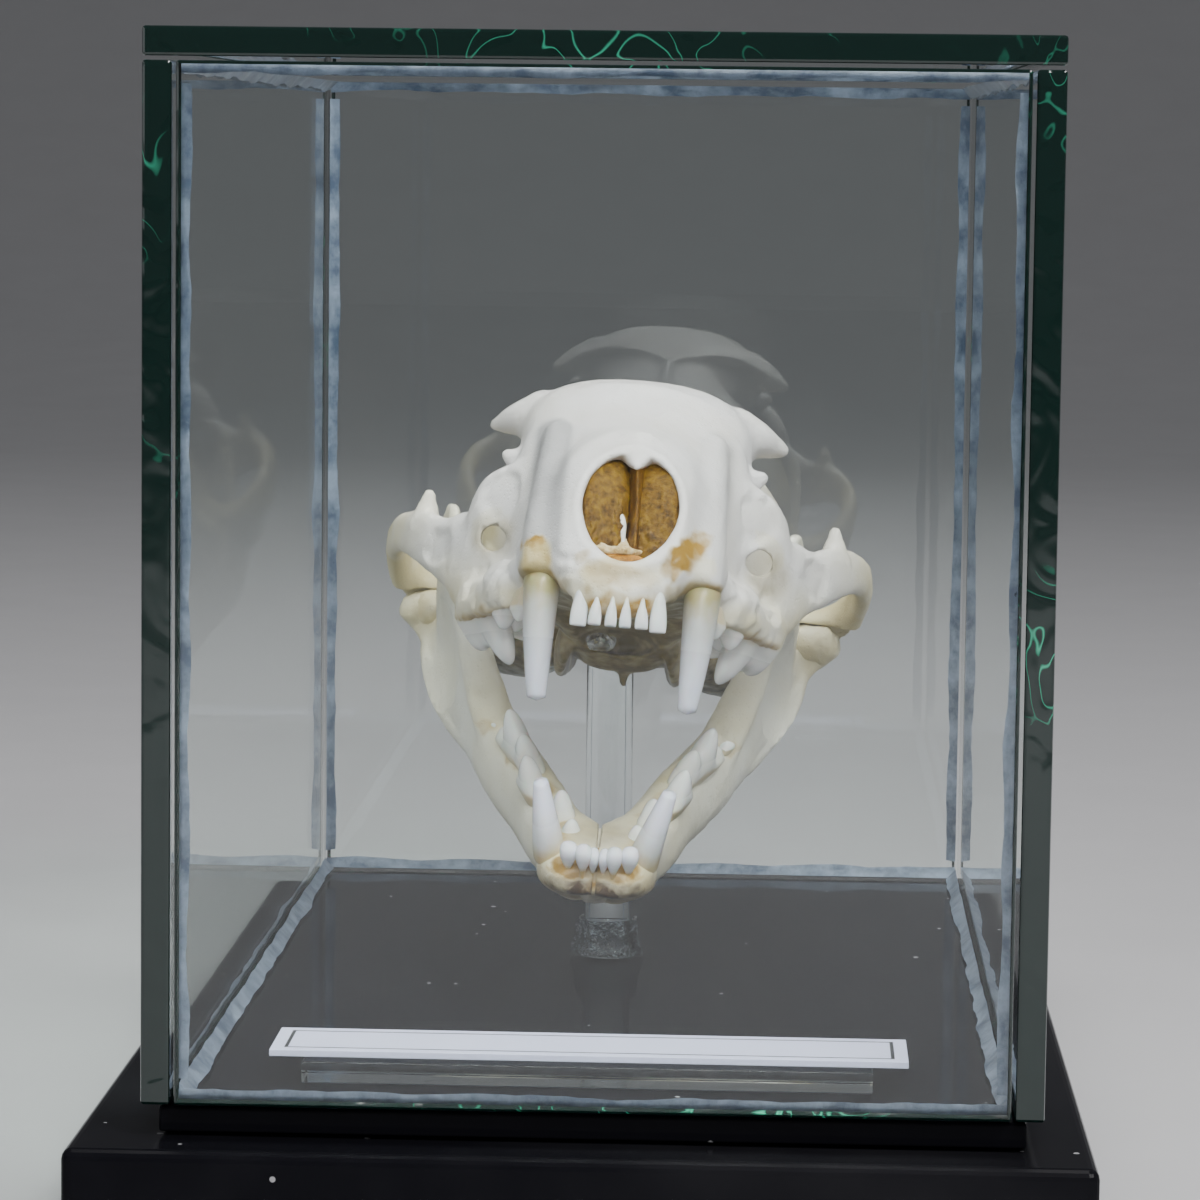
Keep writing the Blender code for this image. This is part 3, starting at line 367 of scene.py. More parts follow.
clear_acrylic, acrylic_tree, acrylic_shader = start_material(
    "Clear acrylic", Transmission_Weight=1.0, IOR=1.49)
scuffs = mottled(acrylic_tree, acrylic_shader, (0.95, 0.97, 0.98), (0.86, 0.89, 0.91),
                 Scale=700.0, Detail=6.0, Distortion=0.6)
scuff_rough = add_node(acrylic_tree, "ShaderNodeMapRange", Value=(scuffs, "Fac"), From_Min=0.5, From_Max=0.75,
                       To_Min=0.02, To_Max=0.25)
feed(acrylic_tree, acrylic_shader, Roughness=(scuff_rough, "Result"))
lets_light_through(acrylic_tree, acrylic_shader, (0.9, 0.92, 0.93))
piece_from(eased_block(BLOCK_LOW, BLOCK_HIGH, 0.15), "label_rest", case_to_world,
           [clear_acrylic], ["label_block"], sharp=10)


# Rod: a 4 mm clear acrylic rod, sawn square and let into the underside of the skull, with its foot stuck to
# the floor in a rough collar of glue.
ROD_RADIUS = 2.0
ROD_HEIGHT = 29.6
ROD_PLACE = Vector((-1.4, 9.6, 0.0))
rod = bmesh.new()
bmesh.ops.create_cone(rod, cap_ends=True, segments=48, radius1=ROD_RADIUS, radius2=ROD_RADIUS,
                      depth=ROD_HEIGHT - GAP)
rims = [edge for edge in rod.edges if abs(edge.verts[0].co.z - edge.verts[1].co.z) < 0.1]
bmesh.ops.bevel(rod, geom=rims, offset=0.12, segments=2, profile=0.5, affect="EDGES", material=-1)
bmesh.ops.translate(rod, vec=ROD_PLACE + Vector((0, 0, (ROD_HEIGHT + GAP) / 2)), verts=rod.verts)
piece_from(rod, "clear_rod", case_to_world, [clear_acrylic], ["support_rod"])

FOOT_INSIDE = 2.4
MOST_SWELL = 1.05
FOOT_RINGS = [(2.3, 0.35), (3.1, 0.35), (3.05, 0.8), (2.8, 1.5), (2.65, 2.6), (2.55, 3.4), (2.3, 3.35)]
foot = bmesh.new()
profile = [foot.verts.new((radius, 0, height)) for radius, height in FOOT_RINGS]
loop = [foot.edges.new((a, b)) for a, b in zip(profile, profile[1:] + profile[:1])]
bmesh.ops.spin(foot, geom=profile + loop, cent=(0, 0, 0), axis=(0, 0, 1), angle=2 * math.pi, steps=40,
               use_merge=True)
bmesh.ops.remove_doubles(foot, verts=foot.verts, dist=0.001)
for vert in foot.verts:
    lump = 1 + 0.16 * noise.noise(vert.co * 0.9) if vert.co.xy.length > FOOT_INSIDE else 1.0
    vert.co.xy *= min(lump, MOST_SWELL)
bmesh.ops.translate(foot, vec=ROD_PLACE, verts=foot.verts)
foot_glue, foot_tree, foot_shader = start_material(
    "Clear foot glue", Transmission_Weight=1.0, IOR=1.48, Roughness=0.08, Base_Color=(0.86, 0.90, 0.92, 1.0))
foot_lumps = add_texture(foot_tree, "Noise", Scale=650.0, Detail=4.0)
bumped(foot_tree, foot_shader, (foot_lumps, "Fac"), 0.9, 0.0006)
piece_from(foot, "rod_glue", case_to_world, [foot_glue], ["rod_foot_glue"], sharp=70)


# Cranium: one bone, cleaned and whitened, with the smooth domed roof, the broad short face, thin cheek arches
# and two ear capsules. Grown together from overlapping forms and held by the rod in the hole in its underside.
skull_to_world = (
    case_to_world
    @ Matrix.Translation((0.43, -27.0, 34.7))
    @ Matrix.Rotation(math.radians(1.5), 4, "Z")
    @ Matrix.Rotation(math.radians(-13.0), 4, "X")
    @ Matrix.Rotation(math.radians(4.6), 4, "Y")
)


def curve_through(rows, steps):
    """Rows of numbers read from a smooth curve through the given rows."""
    made = []
    for i in range(len(rows) - 1):
        before, start, end, after = rows[max(i - 1, 0)], rows[i], rows[i + 1], rows[min(i + 2, len(rows) - 1)]
        for step in range(steps):
            t = step / steps
            made.append([
                0.5 * (2 * b + (c - a) * t + (2 * a - 5 * b + 4 * c - d) * t**2 + (3 * b - a - 3 * c + d) * t**3)
                for a, b, c, d in zip(before, start, end, after)
            ])
    made.append(list(rows[-1]))
    return made


def boxed(value, bend):
    """A coordinate of the unit circle pushed out towards a box: 2 leaves it round."""
    return math.copysign(abs(value) ** (2 / bend), value)


def add_shell(bm, stations, steps=6, sides=40):
    """A form along d. A station is d, slant, half width, lowest, widest and highest z, and the two bends."""
    rows = curve_through(stations, steps)

    def shell_point(ring, across, up):
        d, slant, half, low, wide, high, upper, lower = rows[ring]
        bend = upper if up >= 0 else lower
        z = wide + boxed(up, bend) * ((high - wide) if up >= 0 else (wide - low))
        return Vector((half * boxed(across, bend), d + slant * z, z))

    return add_tube(bm, len(rows), sides, shell_point)


def add_limb(bm, stations, up=(0, 0, 1), bend=2.2, steps=5, sides=24):
    """A form along a path. A station is the path's x, d and z, then the half thickness and half height."""
    rows = curve_through(stations, steps)
    centres = [Vector(row[:3]) for row in rows]

    def limb_point(ring, across, high):
        ahead = centres[min(ring + 1, len(rows) - 1)] - centres[max(ring - 1, 0)]
        side = ahead.cross(Vector(up)).normalized()
        lift = side.cross(ahead).normalized()
        return centres[ring] + side * rows[ring][3] * boxed(across, bend) + lift * rows[ring][4] * boxed(high, bend)

    return add_tube(bm, len(rows), sides, limb_point)


def add_lump(bm, centre, radii, turn=0.0, tilt=0.0):
    """An ellipsoid, turned about z and tilted about x, in degrees."""
    made = bmesh.ops.create_icosphere(bm, subdivisions=4, radius=1.0)
    place = Matrix.Translation(centre) @ Matrix.Rotation(math.radians(turn), 4, "Z")
    place = place @ Matrix.Rotation(math.radians(tilt), 4, "X") @ Matrix.Diagonal((*radii, 1.0))
    bmesh.ops.transform(bm, matrix=place, verts=made["verts"])
    return made["verts"]


def add_spine(bm, start, end, start_radius, end_radius, flat=1.0):
    """A tapered spine with a rounded tip. flat is its thickness over its width."""
    start, end = Vector(start), Vector(end)
    heading = (end - start).normalized()
    tip = heading * end_radius
    middle = (start_radius + end_radius) / 2
    return add_limb(bm, [
        (*start, start_radius, start_radius * flat),
        (*start.lerp(end, 0.5), middle, middle * flat),
        (*end, end_radius, end_radius * flat),
        (*(end + tip * 0.7), end_radius * 0.7, end_radius * 0.7 * flat),
        (*(end + tip), end_radius * 0.2, end_radius * 0.2 * flat),
    ], up=(0, 1, 0) if abs(heading.z) > 0.7 else (0, 0, 1), bend=2.0, steps=3)


def add_mirrored(bm, build):
    """Builds the forms of one side and copies them to the other."""
    before = len(bm.verts)
    build(bm)
    bm.verts.ensure_lookup_table()
    verts = bm.verts[before:]
    faces = list(dict.fromkeys(face for vert in verts for face in vert.link_faces))
    edges = list(dict.fromkeys(edge for vert in verts for edge in vert.link_edges))
    bmesh.ops.mirror(bm, geom=verts + edges + faces, axis="X", merge_dist=-1.0)


def applied(obj):
    """The object with its modifiers made part of its mesh."""
    graph = bpy.context.evaluated_depsgraph_get()
    mesh = bpy.data.meshes.new_from_object(obj.evaluated_get(graph))
    obj.modifiers.clear()
    obj.data = mesh
    return obj


def grown_bone(name, bm, voxel, rounds):
    """One skin round overlapping forms, softened where they meet by a number of rounds."""
    bone = object_from(bm, name)
    skin = bone.modifiers.new("Skin", "REMESH")
    skin.mode = "VOXEL"
    skin.voxel_size = voxel
    soft = bone.modifiers.new("Softened", "SMOOTH")
    soft.factor = 0.5
    soft.iterations = rounds
    return applied(bone)


def bone_with_details(name, masses, add_details, voxel, rounds, detail_voxel, detail_rounds):
    """Bone from its main masses, well blended, and then from the finer forms that stand on them."""
    body = grown_bone(name, masses, voxel, rounds)
    bm = bmesh.new()
    bm.from_mesh(body.data)
    bpy.data.objects.remove(body)
    add_details(bm)
    return grown_bone(name, bm, detail_voxel, detail_rounds)


def cut_away(bone, cutter_bm):
    """Opens the bone where the cutter's closed forms lie."""
    cutter = object_from(cutter_bm, "cutter")
    opening = bone.modifiers.new("Openings", "BOOLEAN")
    opening.operation = "DIFFERENCE"
    opening.solver = "MANIFOLD"
    opening.object = cutter
    applied(bone)
    bpy.data.objects.remove(cutter)
    return bone


FACE = [
    (-0.2, 0.50, 4.5, 0.4, 6.6, 12.9, 2.0, 2.4),
    (1.0, 0.46, 5.5, 0.2, 6.2, 13.5, 2.1, 2.6),
    (3.6, 0.36, 6.5, 0.2, 5.6, 14.5, 2.2, 2.8),
    (8.0, 0.25, 7.2, 0.4, 5.6, 15.8, 2.2, 2.8),
    (12.5, 0.14, 8.5, 0.5, 6.0, 17.4, 2.3, 2.8),
    (16.5, 0.06, 9.9, 0.6, 7.0, 19.2, 2.4, 2.6),
    (19.5, 0.0, 9.8, 1.0, 9.0, 20.4, 2.5, 2.4),
    (22.0, 0.0, 7.6, 2.0, 9.5, 20.0, 2.4, 2.2),
]
ROOF = [
    (17.5, 0.0, 7.5, 11.0, 14.5, 19.0, 2.4, 2.0),
    (20.5, 0.0, 9.4, 10.0, 14.6, 20.5, 2.5, 2.0),
    (24.0, 0.0, 9.6, 9.5, 15.4, 21.3, 2.6, 1.9),
    (27.5, 0.0, 9.4, 8.5, 16.4, 21.4, 2.5, 1.8),
    (31.0, 0.0, 8.0, 6.5, 15.0, 21.2, 2.3, 1.8),
    (34.5, 0.0, 7.5, 4.0, 13.4, 20.9, 2.2, 1.9),
    (39.0, 0.0, 9.8, 2.4, 12.0, 20.9, 2.2, 2.1),
    (45.0, 0.0, 13.0, 1.2, 11.0, 21.0, 2.2, 2.3),
    (51.0, 0.0, 14.1, 0.6, 10.4, 20.6, 2.2, 2.4),
    (55.5, 0.0, 14.0, 0.9, 9.8, 19.6, 2.2, 2.4),
    (59.0, 0.0, 13.0, 1.6, 8.8, 18.4, 2.2, 2.4),
    (61.8, 0.0, 11.4, 2.7, 8.6, 17.2, 2.2, 2.3),
    (64.0, 0.0, 8.8, 3.9, 8.4, 15.6, 2.2, 2.2),
    (65.2, 0.0, 6.2, 5.0, 8.4, 13.4, 2.1, 2.1),
]
THROAT = [
    (15.0, 0.0, 7.8, 0.8, 4.0, 12.0, 2.6, 3.0),
    (20.0, 0.0, 8.6, 0.8, 4.0, 12.5, 2.4, 3.0),
    (24.0, 0.0, 6.8, -0.5, 4.2, 13.0, 2.2, 3.0),
    (28.0, 0.0, 5.2, -1.7, 4.4, 13.0, 2.2, 3.2),
    (31.5, 0.0, 4.8, -2.2, 4.6, 12.0, 2.2, 3.2),
    (34.0, 0.0, 4.2, 2.4, 5.6, 11.0, 2.2, 2.4),
    (40.0, 0.0, 4.4, 2.2, 6.0, 10.0, 2.2, 2.4),
    (46.0, 0.0, 6.0, 1.2, 6.0, 9.0, 2.2, 2.4),
]
TOOTH_RIDGE = [
    (0.0, 1.6, 2.0, 1.2, 1.9),
    (3.0, 2.4, 2.4, 1.2, 1.9),
    (5.2, 4.9, 4.0, 1.3, 2.0),
    (6.9, 9.0, 2.2, 1.6, 1.9),
    (8.4, 12.8, 1.9, 1.8, 2.0),
    (9.9, 17.0, 1.5, 2.1, 2.1),
    (10.9, 20.6, 1.2, 2.2, 2.1),
    (9.6, 23.6, 1.4, 2.1, 1.8),
    (5.6, 25.6, 2.2, 1.8, 1.4),
]
GUM_WALL = [
    (8.7, 9.5, 1.2, 0.9, 1.6),
    (10.2, 13.0, 1.0, 0.9, 1.8),
    (11.8, 16.8, 0.9, 0.9, 1.9),
    (12.7, 20.4, 1.0, 0.9, 1.9),
    (12.0, 23.4, 1.3, 0.9, 1.5),
]
CHEEK_ARCH = [
    (6.6, 16.8, 7.0, 2.6, 6.0),
    (9.8, 18.4, 6.2, 1.8, 6.1),
    (12.3, 21.0, 4.9, 1.4, 4.6),
    (13.8, 23.2, 5.5, 1.2, 3.6),
    (15.4, 25.7, 6.1, 1.05, 2.7),
    (17.6, 29.6, 7.5, 0.95, 2.3),
    (19.4, 34.0, 8.1, 0.9, 1.8),
    (20.1, 38.0, 7.7, 0.95, 1.7),
    (19.8, 41.5, 6.5, 1.0, 1.9),
    (18.6, 43.7, 5.2, 1.5, 1.8),
    (16.4, 44.6, 4.3, 2.3, 1.7),
    (14.4, 44.9, 4.6, 2.8, 1.9),
    (11.5, 45.0, 6.6, 3.4, 2.8),
]


def add_side_masses(bm):
    """Tooth ridge, cheek arch, canine swelling, brow process, ear capsule, mastoid and neck condyle."""
    add_limb(bm, TOOTH_RIDGE)
    add_limb(bm, CHEEK_ARCH, bend=2.4)
    add_limb(bm, [(6.4, 5.1, 1.6, 1.75, 2.1), (6.4, 6.1, 4.2, 1.8, 2.25), (6.3, 8.7, 7.5, 1.7, 2.05),
                  (6.3, 12.6, 11.5, 1.5, 1.85), (6.4, 16.6, 15.2, 1.1, 1.4)], up=(0, 1, 0))
    add_limb(bm, GUM_WALL)
    add_limb(bm, [(7.6, 26.2, 17.9, 3.4, 2.5), (9.8, 26.8, 17.6, 2.6, 1.5), (11.5, 27.4, 17.2, 1.4, 0.9),
                  (12.8, 27.9, 17.0, 0.5, 0.4)])
    add_lump(bm, (8.6, 50.6, 1.9), (4.4, 7.8, 3.3), turn=-16)
    add_lump(bm, (6.4, 45.4, 1.6), (2.6, 4.0, 2.5), turn=-10)
    add_spine(bm, (10.4, 51.6, 3.2), (14.2, 51.4, 4.4), 3.0, 2.1)
    add_lump(bm, (14.4, 55.6, 5.2), (2.9, 3.4, 3.4), turn=-30)
    add_lump(bm, (4.0, 63.8, 5.4), (2.4, 3.4, 2.9), turn=-28)
    add_lump(bm, (6.0, 61.0, 4.6), (3.6, 3.2, 2.6))


def add_side_details(bm):
    """Temple line, nape crest, the small processes of the orbit, arch, throat and neck."""
    add_limb(bm, [(10.2, 28.4, 18.4, 0.5, 0.5), (6.6, 30.6, 20.4, 0.45, 0.45), (3.0, 33.0, 21.0, 0.4, 0.45),
                  (0.4, 36.5, 21.3, 0.45, 0.5)])
    add_limb(bm, [(0.0, 65.0, 16.4, 0.8, 1.6), (5.0, 64.3, 15.3, 0.8, 1.5), (9.6, 62.2, 12.6, 0.8, 1.5),
                  (13.2, 59.6, 9.2, 0.9, 1.5), (15.6, 57.2, 6.2, 1.3, 1.7)])
    add_spine(bm, (9.3, 20.6, 13.0), (10.5, 21.0, 13.6), 1.3, 0.6)
    add_spine(bm, (17.3, 29.6, 8.2), (17.1, 29.0, 10.9), 1.5, 0.6, flat=0.6)
    add_spine(bm, (11.0, 58.6, 5.0), (11.4, 60.0, 1.4), 1.6, 0.7)
    add_spine(bm, (12.8, 46.6, 5.0), (14.2, 46.2, 2.0), 1.7, 0.7, flat=0.6)
    add_limb(bm, [(4.4, 27.5, -0.4, 0.6, 1.8), (4.9, 31.5, -0.9, 0.6, 2.3), (4.5, 36.0, 0.3, 0.6, 2.8),
                  (4.2, 40.0, 1.6, 0.6, 2.9)])
    add_spine(bm, (4.3, 38.6, 0.0), (4.7, 41.2, -1.4), 0.7, 0.4)


def add_cranium_details(bm):
    """The crest along the roof, then the small forms of both sides."""
    add_limb(bm, [(0, 33.5, 20.0, 0.6, 1.1), (0, 40.0, 20.7, 0.6, 1.2), (0, 50.0, 20.6, 0.6, 1.3),
                  (0, 58.0, 18.8, 0.6, 1.6), (0, 65.0, 16.2, 0.7, 1.8)])
    add_spine(bm, (0.5, 31.0, -1.0), (0.55, 31.7, -3.3), 0.8, 0.35)
    add_limb(bm, [(-3.1, 2.5, 0.3, 0.5, 1.0), (-1.9, 1.95, -0.2, 0.5, 1.0), (0.0, 1.65, -0.4, 0.5, 1.0),
                  (1.9, 1.95, -0.2, 0.5, 1.0), (3.1, 2.5, 0.3, 0.5, 1.0)])
    add_mirrored(bm, add_side_details)


def add_side_hollows(bm):
    """The cheek hole, the ear hole and the trough of the jaw joint."""
    add_spine(bm, (10.6, 11.0, 5.15), (11.15, 27.0, 7.5), 0.95, 1.2)
    add_spine(bm, (21.0, 52.0, 5.0), (13.5, 51.6, 4.6), 1.3, 1.1)
    add_limb(bm, [(11.2, 43.5, 3.0, 1.85, 1.85), (22.3, 43.5, 3.0, 1.85, 1.85)], bend=2.0, steps=1)


masses = bmesh.new()
for stations in (FACE, ROOF, THROAT):
    add_shell(masses, stations)
add_lump(masses, (0, 58, 4.2), (5.5, 7.0, 2.4))
add_lump(masses, (0, 1.75, 0.9), (3.1, 1.35, 1.7))
add_limb(masses, [(-3.3, 2.5, 0.6, 1.1, 1.0), (-1.9, 1.8, 0.2, 1.15, 1.1), (0.0, 1.5, 0.05, 1.15, 1.15),
                  (1.9, 1.8, 0.2, 1.15, 1.1), (3.3, 2.5, 0.6, 1.1, 1.0)])
add_mirrored(masses, add_side_masses)
cranium = bone_with_details("cranium_bone", masses, add_cranium_details, 0.34, 13, 0.26, 4)

NOSE_SHIFT = 0.3  # the nose stands this far to the left of the middle of the head
MOST_FACES = 190000
ROD_HOLE_RADIUS = 2.15
ROD_HOLE_DEPTH = 8.0
hollows = bmesh.new()
opening = add_shell(hollows, [
    (-4.0, 0.5, 3.85, 2.9, 7.8, 12.3, 2.1, 1.8),
    (2.6, 0.5, 3.75, 3.1, 7.8, 12.1, 2.1, 1.8),
    (7.5, 0.45, 3.0, 4.0, 7.8, 11.4, 2.1, 2.0),
])
bmesh.ops.translate(hollows, vec=(NOSE_SHIFT, 0, 0), verts=opening)
add_lump(hollows, (0, 15.6, -0.6), (5.2, 13.0, 1.8))
add_lump(hollows, (0, 36.0, 1.6), (3.2, 8.0, 2.7))
add_shell(hollows, [(54.0, 0, 3.0, 5.4, 8.1, 10.6, 2, 2), (60.0, 0, 3.5, 5.2, 8.1, 11.0, 2, 2),
                    (69.0, 0, 3.9, 4.8, 8.1, 11.4, 2, 2)])
add_mirrored(hollows, add_side_hollows)
rod_hole = bmesh.ops.create_cone(hollows, cap_ends=True, segments=48, radius1=ROD_HOLE_RADIUS,
                                 radius2=ROD_HOLE_RADIUS, depth=ROD_HOLE_DEPTH)["verts"]
hole_top = ROD_HEIGHT + 0.2
bmesh.ops.translate(hollows, vec=ROD_PLACE + Vector((0, 0, hole_top - ROD_HOLE_DEPTH / 2)), verts=rod_hole)
bmesh.ops.transform(hollows, matrix=skull_to_world.inverted() @ case_to_world, verts=rod_hole)
cut_away(cranium, hollows)

nose_tip = bmesh.new()
nose_tip.from_mesh(cranium.data)
add_spine(nose_tip, (0.45, 8.6, 13.2), (0.45, 5.5, 11.25), 2.0, 0.5, flat=0.8)
bpy.data.objects.remove(cranium)
cranium = grown_bone("cranium_bone", nose_tip, 0.26, 2)
fewer = cranium.modifiers.new("Fewer faces", "DECIMATE")
fewer.ratio = min(1.0, MOST_FACES / (2 * len(cranium.data.polygons)))
applied(cranium)


def sculpted(mesh, lift):
    """Moves each point out along its normal by the lift, in millimetres, that its place gets."""
    normals = [vert.normal.copy() for vert in mesh.vertices]
    for vert, normal in zip(mesh.vertices, normals):
        vert.co += normal * lift(vert.co)


def roughened(mesh, size, height, seed):
    """Moves each point in or out a little, so that no surface is perfectly smooth or even-sided."""
    shift = Vector((seed * 7.3, seed * 3.1, seed * 5.7))
    sculpted(mesh, lambda point: height * noise.fractal(point / size + shift, 1.0, 2.0, 3))


def unit(value):
    """The value, kept between nought and one."""
    return min(max(value, 0.0), 1.0)


def paint(mesh, **amounts):
    """Stores how strongly each stain or painted shade shows at each point of a mesh."""
    for name, amount in amounts.items():
        layer = mesh.attributes.new(name, "FLOAT", "POINT")
        layer.data.foreach_set("value", [unit(amount(vert.co)) for vert in mesh.vertices])


WARP_SEED = 4
WARP = 0.55
noise.seed_set(WARP_SEED)


def spots(places):
    """The strongest of several soft spots. A place is its centre, its radii and its strength."""
    def amount(point):
        best = 0.0
        x, y, z = point + noise.noise_vector(point * 0.9) * WARP
        for (cx, cy, cz), (rx, ry, rz), strength in places:
            reach = ((x - cx) / rx) ** 2 + ((y - cy) / ry) ** 2 + ((z - cz) / rz) ** 2
            if reach < 1.0:
                best = max(best, strength * min(1.9 * (1.0 - reach), 1.0))
        return best
    return amount


def both_sides(places):
    """The places and their mirror images."""
    return places + [((-x, y, z), radii, strength) for (x, y, z), radii, strength in places]


def ring_lift(reach, radius, width, height):
    return height * math.exp(-((reach - radius) / width) ** 2)


press = spots(both_sides([
    ((10.6, 17.0, 9.6), (2.2, 3.2, 2.6), 0.40),
    ((15.4, 24.4, 6.0), (2.6, 2.6, 1.7), 0.30),
    ((3.9, 3.4, 2.9), (1.2, 2.6, 1.3), 0.30),
    ((10.95, 12.0, 5.6), (1.7, 5.0, 1.7), 0.55),
    ((12.0, 16.4, 2.6), (1.5, 2.8, 1.8), 0.32),
]) + [((0.0, 16.0, 18.4), (2.4, 5.0, 2.0), 0.15)])
swell = spots(both_sides([
    ((10.0, 13.0, 2.2), (1.0, 3.2, 2.6), 0.34),
    ((8.2, 8.2, 3.2), (1.1, 3.0, 1.9), 0.24),
    ((3.9, 3.0, 0.9), (0.9, 2.4, 1.2), 0.22),
]))


def cranium_lift(point):
    """The raised rim of the nose with a valley round it, the rims of the cheek holes, and rough lower edges."""
    lift = swell(point) - press(point)
    x, y, z = point
    if y < 3.0 + 0.62 * z:
        reach = math.hypot((x - NOSE_SHIFT) / 3.9, (z - 7.6) / 4.75)
        lift += ring_lift(reach, 1.10, 0.09, 0.18) - ring_lift(reach, 1.40, 0.16, 0.06)
    if y < 17 and abs(x) > 8.6:
        lift += ring_lift(math.hypot(abs(x) - 10.6, z - 5.3), 1.6, 0.3, 0.10)
    rough = unit((3.6 - z) / 2.5) * unit((abs(x) - 8.0) / 2.0)
    return lift + 0.16 * rough * noise.fractal(point / 1.3, 1.0, 2.0, 3)


sculpted(cranium.data, cranium_lift)
roughened(cranium.data, 4.0, 0.10, 1)
roughened(cranium.data, 0.9, 0.03, 2)

amber_spots = spots(both_sides([
    ((10.3, 13.8, -0.3), (1.2, 1.4, 0.6), 0.8),
    ((4.4, 2.8, 0.9), (0.9, 2.2, 0.9), 0.4),
]) + [
    ((3.9, 1.9, 2.8), (1.2, 2.6, 0.9), 0.8),
    ((4.7, 2.4, 3.7), (1.3, 2.8, 1.2), 1.0),
    ((5.4, 3.2, 4.7), (1.3, 2.8, 1.2), 1.0),
    ((6.0, 4.1, 5.6), (1.0, 2.8, 1.0), 0.85),
    ((-6.7, 3.5, 3.0), (1.6, 2.8, 1.5), 0.58),
    ((-7.1, 4.2, 4.2), (1.0, 2.6, 0.7), 0.9),
    ((0.0, 3.6, 3.4), (3.2, 2.2, 1.0), 0.75),
    ((-0.2, 1.2, 1.9), (3.4, 2.6, 1.5), 0.5),
    ((-2.9, 2.3, 3.2), (1.1, 2.0, 0.8), 0.5),
    ((0.0, 1.7, -0.3), (3.6, 1.8, 1.5), 1.15),
])


def in_nose(x, z):
    return ((x - NOSE_SHIFT) / 4.1) ** 2 + ((z - 7.7) / 5.0) ** 2 < 1.0


def canine_reach(x, y):
    """How far a point lies from the middle of the nearer canine: its root's edge is at 1."""
    return math.hypot((abs(x) - 6.3) / 1.47, (y - 5.7) / 1.93)


def amber_of_cranium(point):
    """Spots, the lining of the nose behind its rim, the gum line and the rings round the canines."""
    x, y, z = point
    behind = y - 0.5 * z
    lining = gum_line = ring = 0.0
    if abs(x) < 4.2 and 3.0 < z < 12.6 and y < 14 and behind < 8 and in_nose(x, z):
        lining = unit((behind - 1.1) / 1.2)
    if abs(x) > 7.6 and 8.0 < y < 25.0:
        gum_line = unit((-0.1 - z) / 0.45) * 0.75
    if z < 3.0:
        ring = unit((1.55 - canine_reach(x, y)) / 0.25) * unit((2.45 - z) / 0.35) * 0.75
    return max(amber_spots(point), lining, gum_line, ring)


def olive_and_painted_shade_of_cranium(point):
    """The olive palate, darkened as painted shade under the skull; the olive rings round the canines; and painted
    shade in and round the cheek holes.
    """
    x, y, z = point
    palate = ring = hole_shade = 0.0
    # painted shade: the palate under the skull is darkened over its own olive tone
    if z < 2.8 and abs(x) < 13.0 and 2.5 < y < 60.0:
        wide = 8.0 if y < 27.0 else 13.0
        palate = min((2.8 - z) * 1.2, 1.0) * unit((wide - abs(x)) / 2.0) * min((y - 2.5) / 2.0, 1.0)
    if z < 3.0:
        ring = unit((1.4 - canine_reach(x, y)) / 0.2) * 0.6 * unit((2.3 - z) / 0.35)
    # painted shade in and round each cheek hole, set off to one side of it
    if y < 21.0 and abs(x) > 8.6:
        deep = math.hypot(x - 11.7, z - 5.3) if x > 0 else math.hypot(x + 10.9, z - 6.2)
        hole_shade = unit(2.3 - deep) * 0.42
    return max(palate * 0.9, ring, hole_shade)


cream_spots = spots([
    ((0.2, 1.2, 1.4), (4.0, 3.2, 2.4), 0.75),
    ((-6.8, 3.6, 3.0), (1.7, 2.8, 1.8), 1.0),
    ((6.4, 4.4, 3.0), (1.2, 2.6, 1.6), 0.5),
])


def ivory_of_cranium(point):
    """Cream yellow towards the back of the arches, round the jaw joints, over the teeth and under the skull."""
    x, y, z = point
    back = unit((y - 24.0) / 14.0) * unit((abs(x) - 9.0) / 4.0)
    under = unit((6.0 - z) / 5.0) * unit((y - 8.0) / 14.0)
    gum = unit((2.6 - z) / 1.8) * 0.6
    through = 0.35 if math.hypot(abs(x) - 11.0, z - 6.8) < 1.9 and 17.0 < y < 30.0 else 0.0
    return max(back, under, gum, through, cream_spots(point))


def grey_root_and_side_shade_of_cranium(point):
    """The thin bone over the long canine roots, greyer than the rest, with painted shade that makes it darkest on
    the right of the head.
    """
    x, y, z = point
    axis = abs(abs(x) - 6.4 - 0.3 * unit((z - 2.0) / 14.0))
    band = unit((1.9 - axis) / 0.6) if y < 6.0 + z * 0.85 else 0.0
    top = 16.6 - 0.35 * axis * axis
    # painted shade: full strength on the right of the head, 0.45 of it on the left
    return band * (1.0 if x < 0 else 0.45) * unit((z - 2.4) / 1.5) * unit((top - z) / 0.6)


paint(cranium.data, amber=amber_of_cranium, olive=olive_and_painted_shade_of_cranium, ivory=ivory_of_cranium,
      grey=grey_root_and_side_shade_of_cranium)

# Bone grain: fine pores and shallow pits, as the height of a bump, and a slow change of tone.
grain, grain_in, grain_out = new_group("Bone grain", dict(Pores=1.0, Pits=1.0), ["Height", "Tone"])
pore_cells = add_texture(grain, "Voronoi", Scale=2600.0)
pore_depth = add_node(grain, "ShaderNodeMapRange", Value=(pore_cells, "Distance"), From_Max=0.35)
pit_noise = add_texture(grain, "Noise", Scale=620.0, Detail=3.0, Roughness=0.6)
tone_noise = add_texture(grain, "Noise", Scale=130.0, Detail=2.5, Roughness=0.55)
pore_part = add_math(grain, "MULTIPLY", (pore_depth, "Result"), (grain_in, "Pores"))
pit_part = add_math(grain, "MULTIPLY", (pit_noise, "Fac"), (grain_in, "Pits"))
grain_sum = add_math(grain, "ADD", (pore_part, "Value"), (pit_part, "Value"))
feed(grain, grain_out, Height=(grain_sum, "Value"), Tone=(tone_noise, "Fac"))
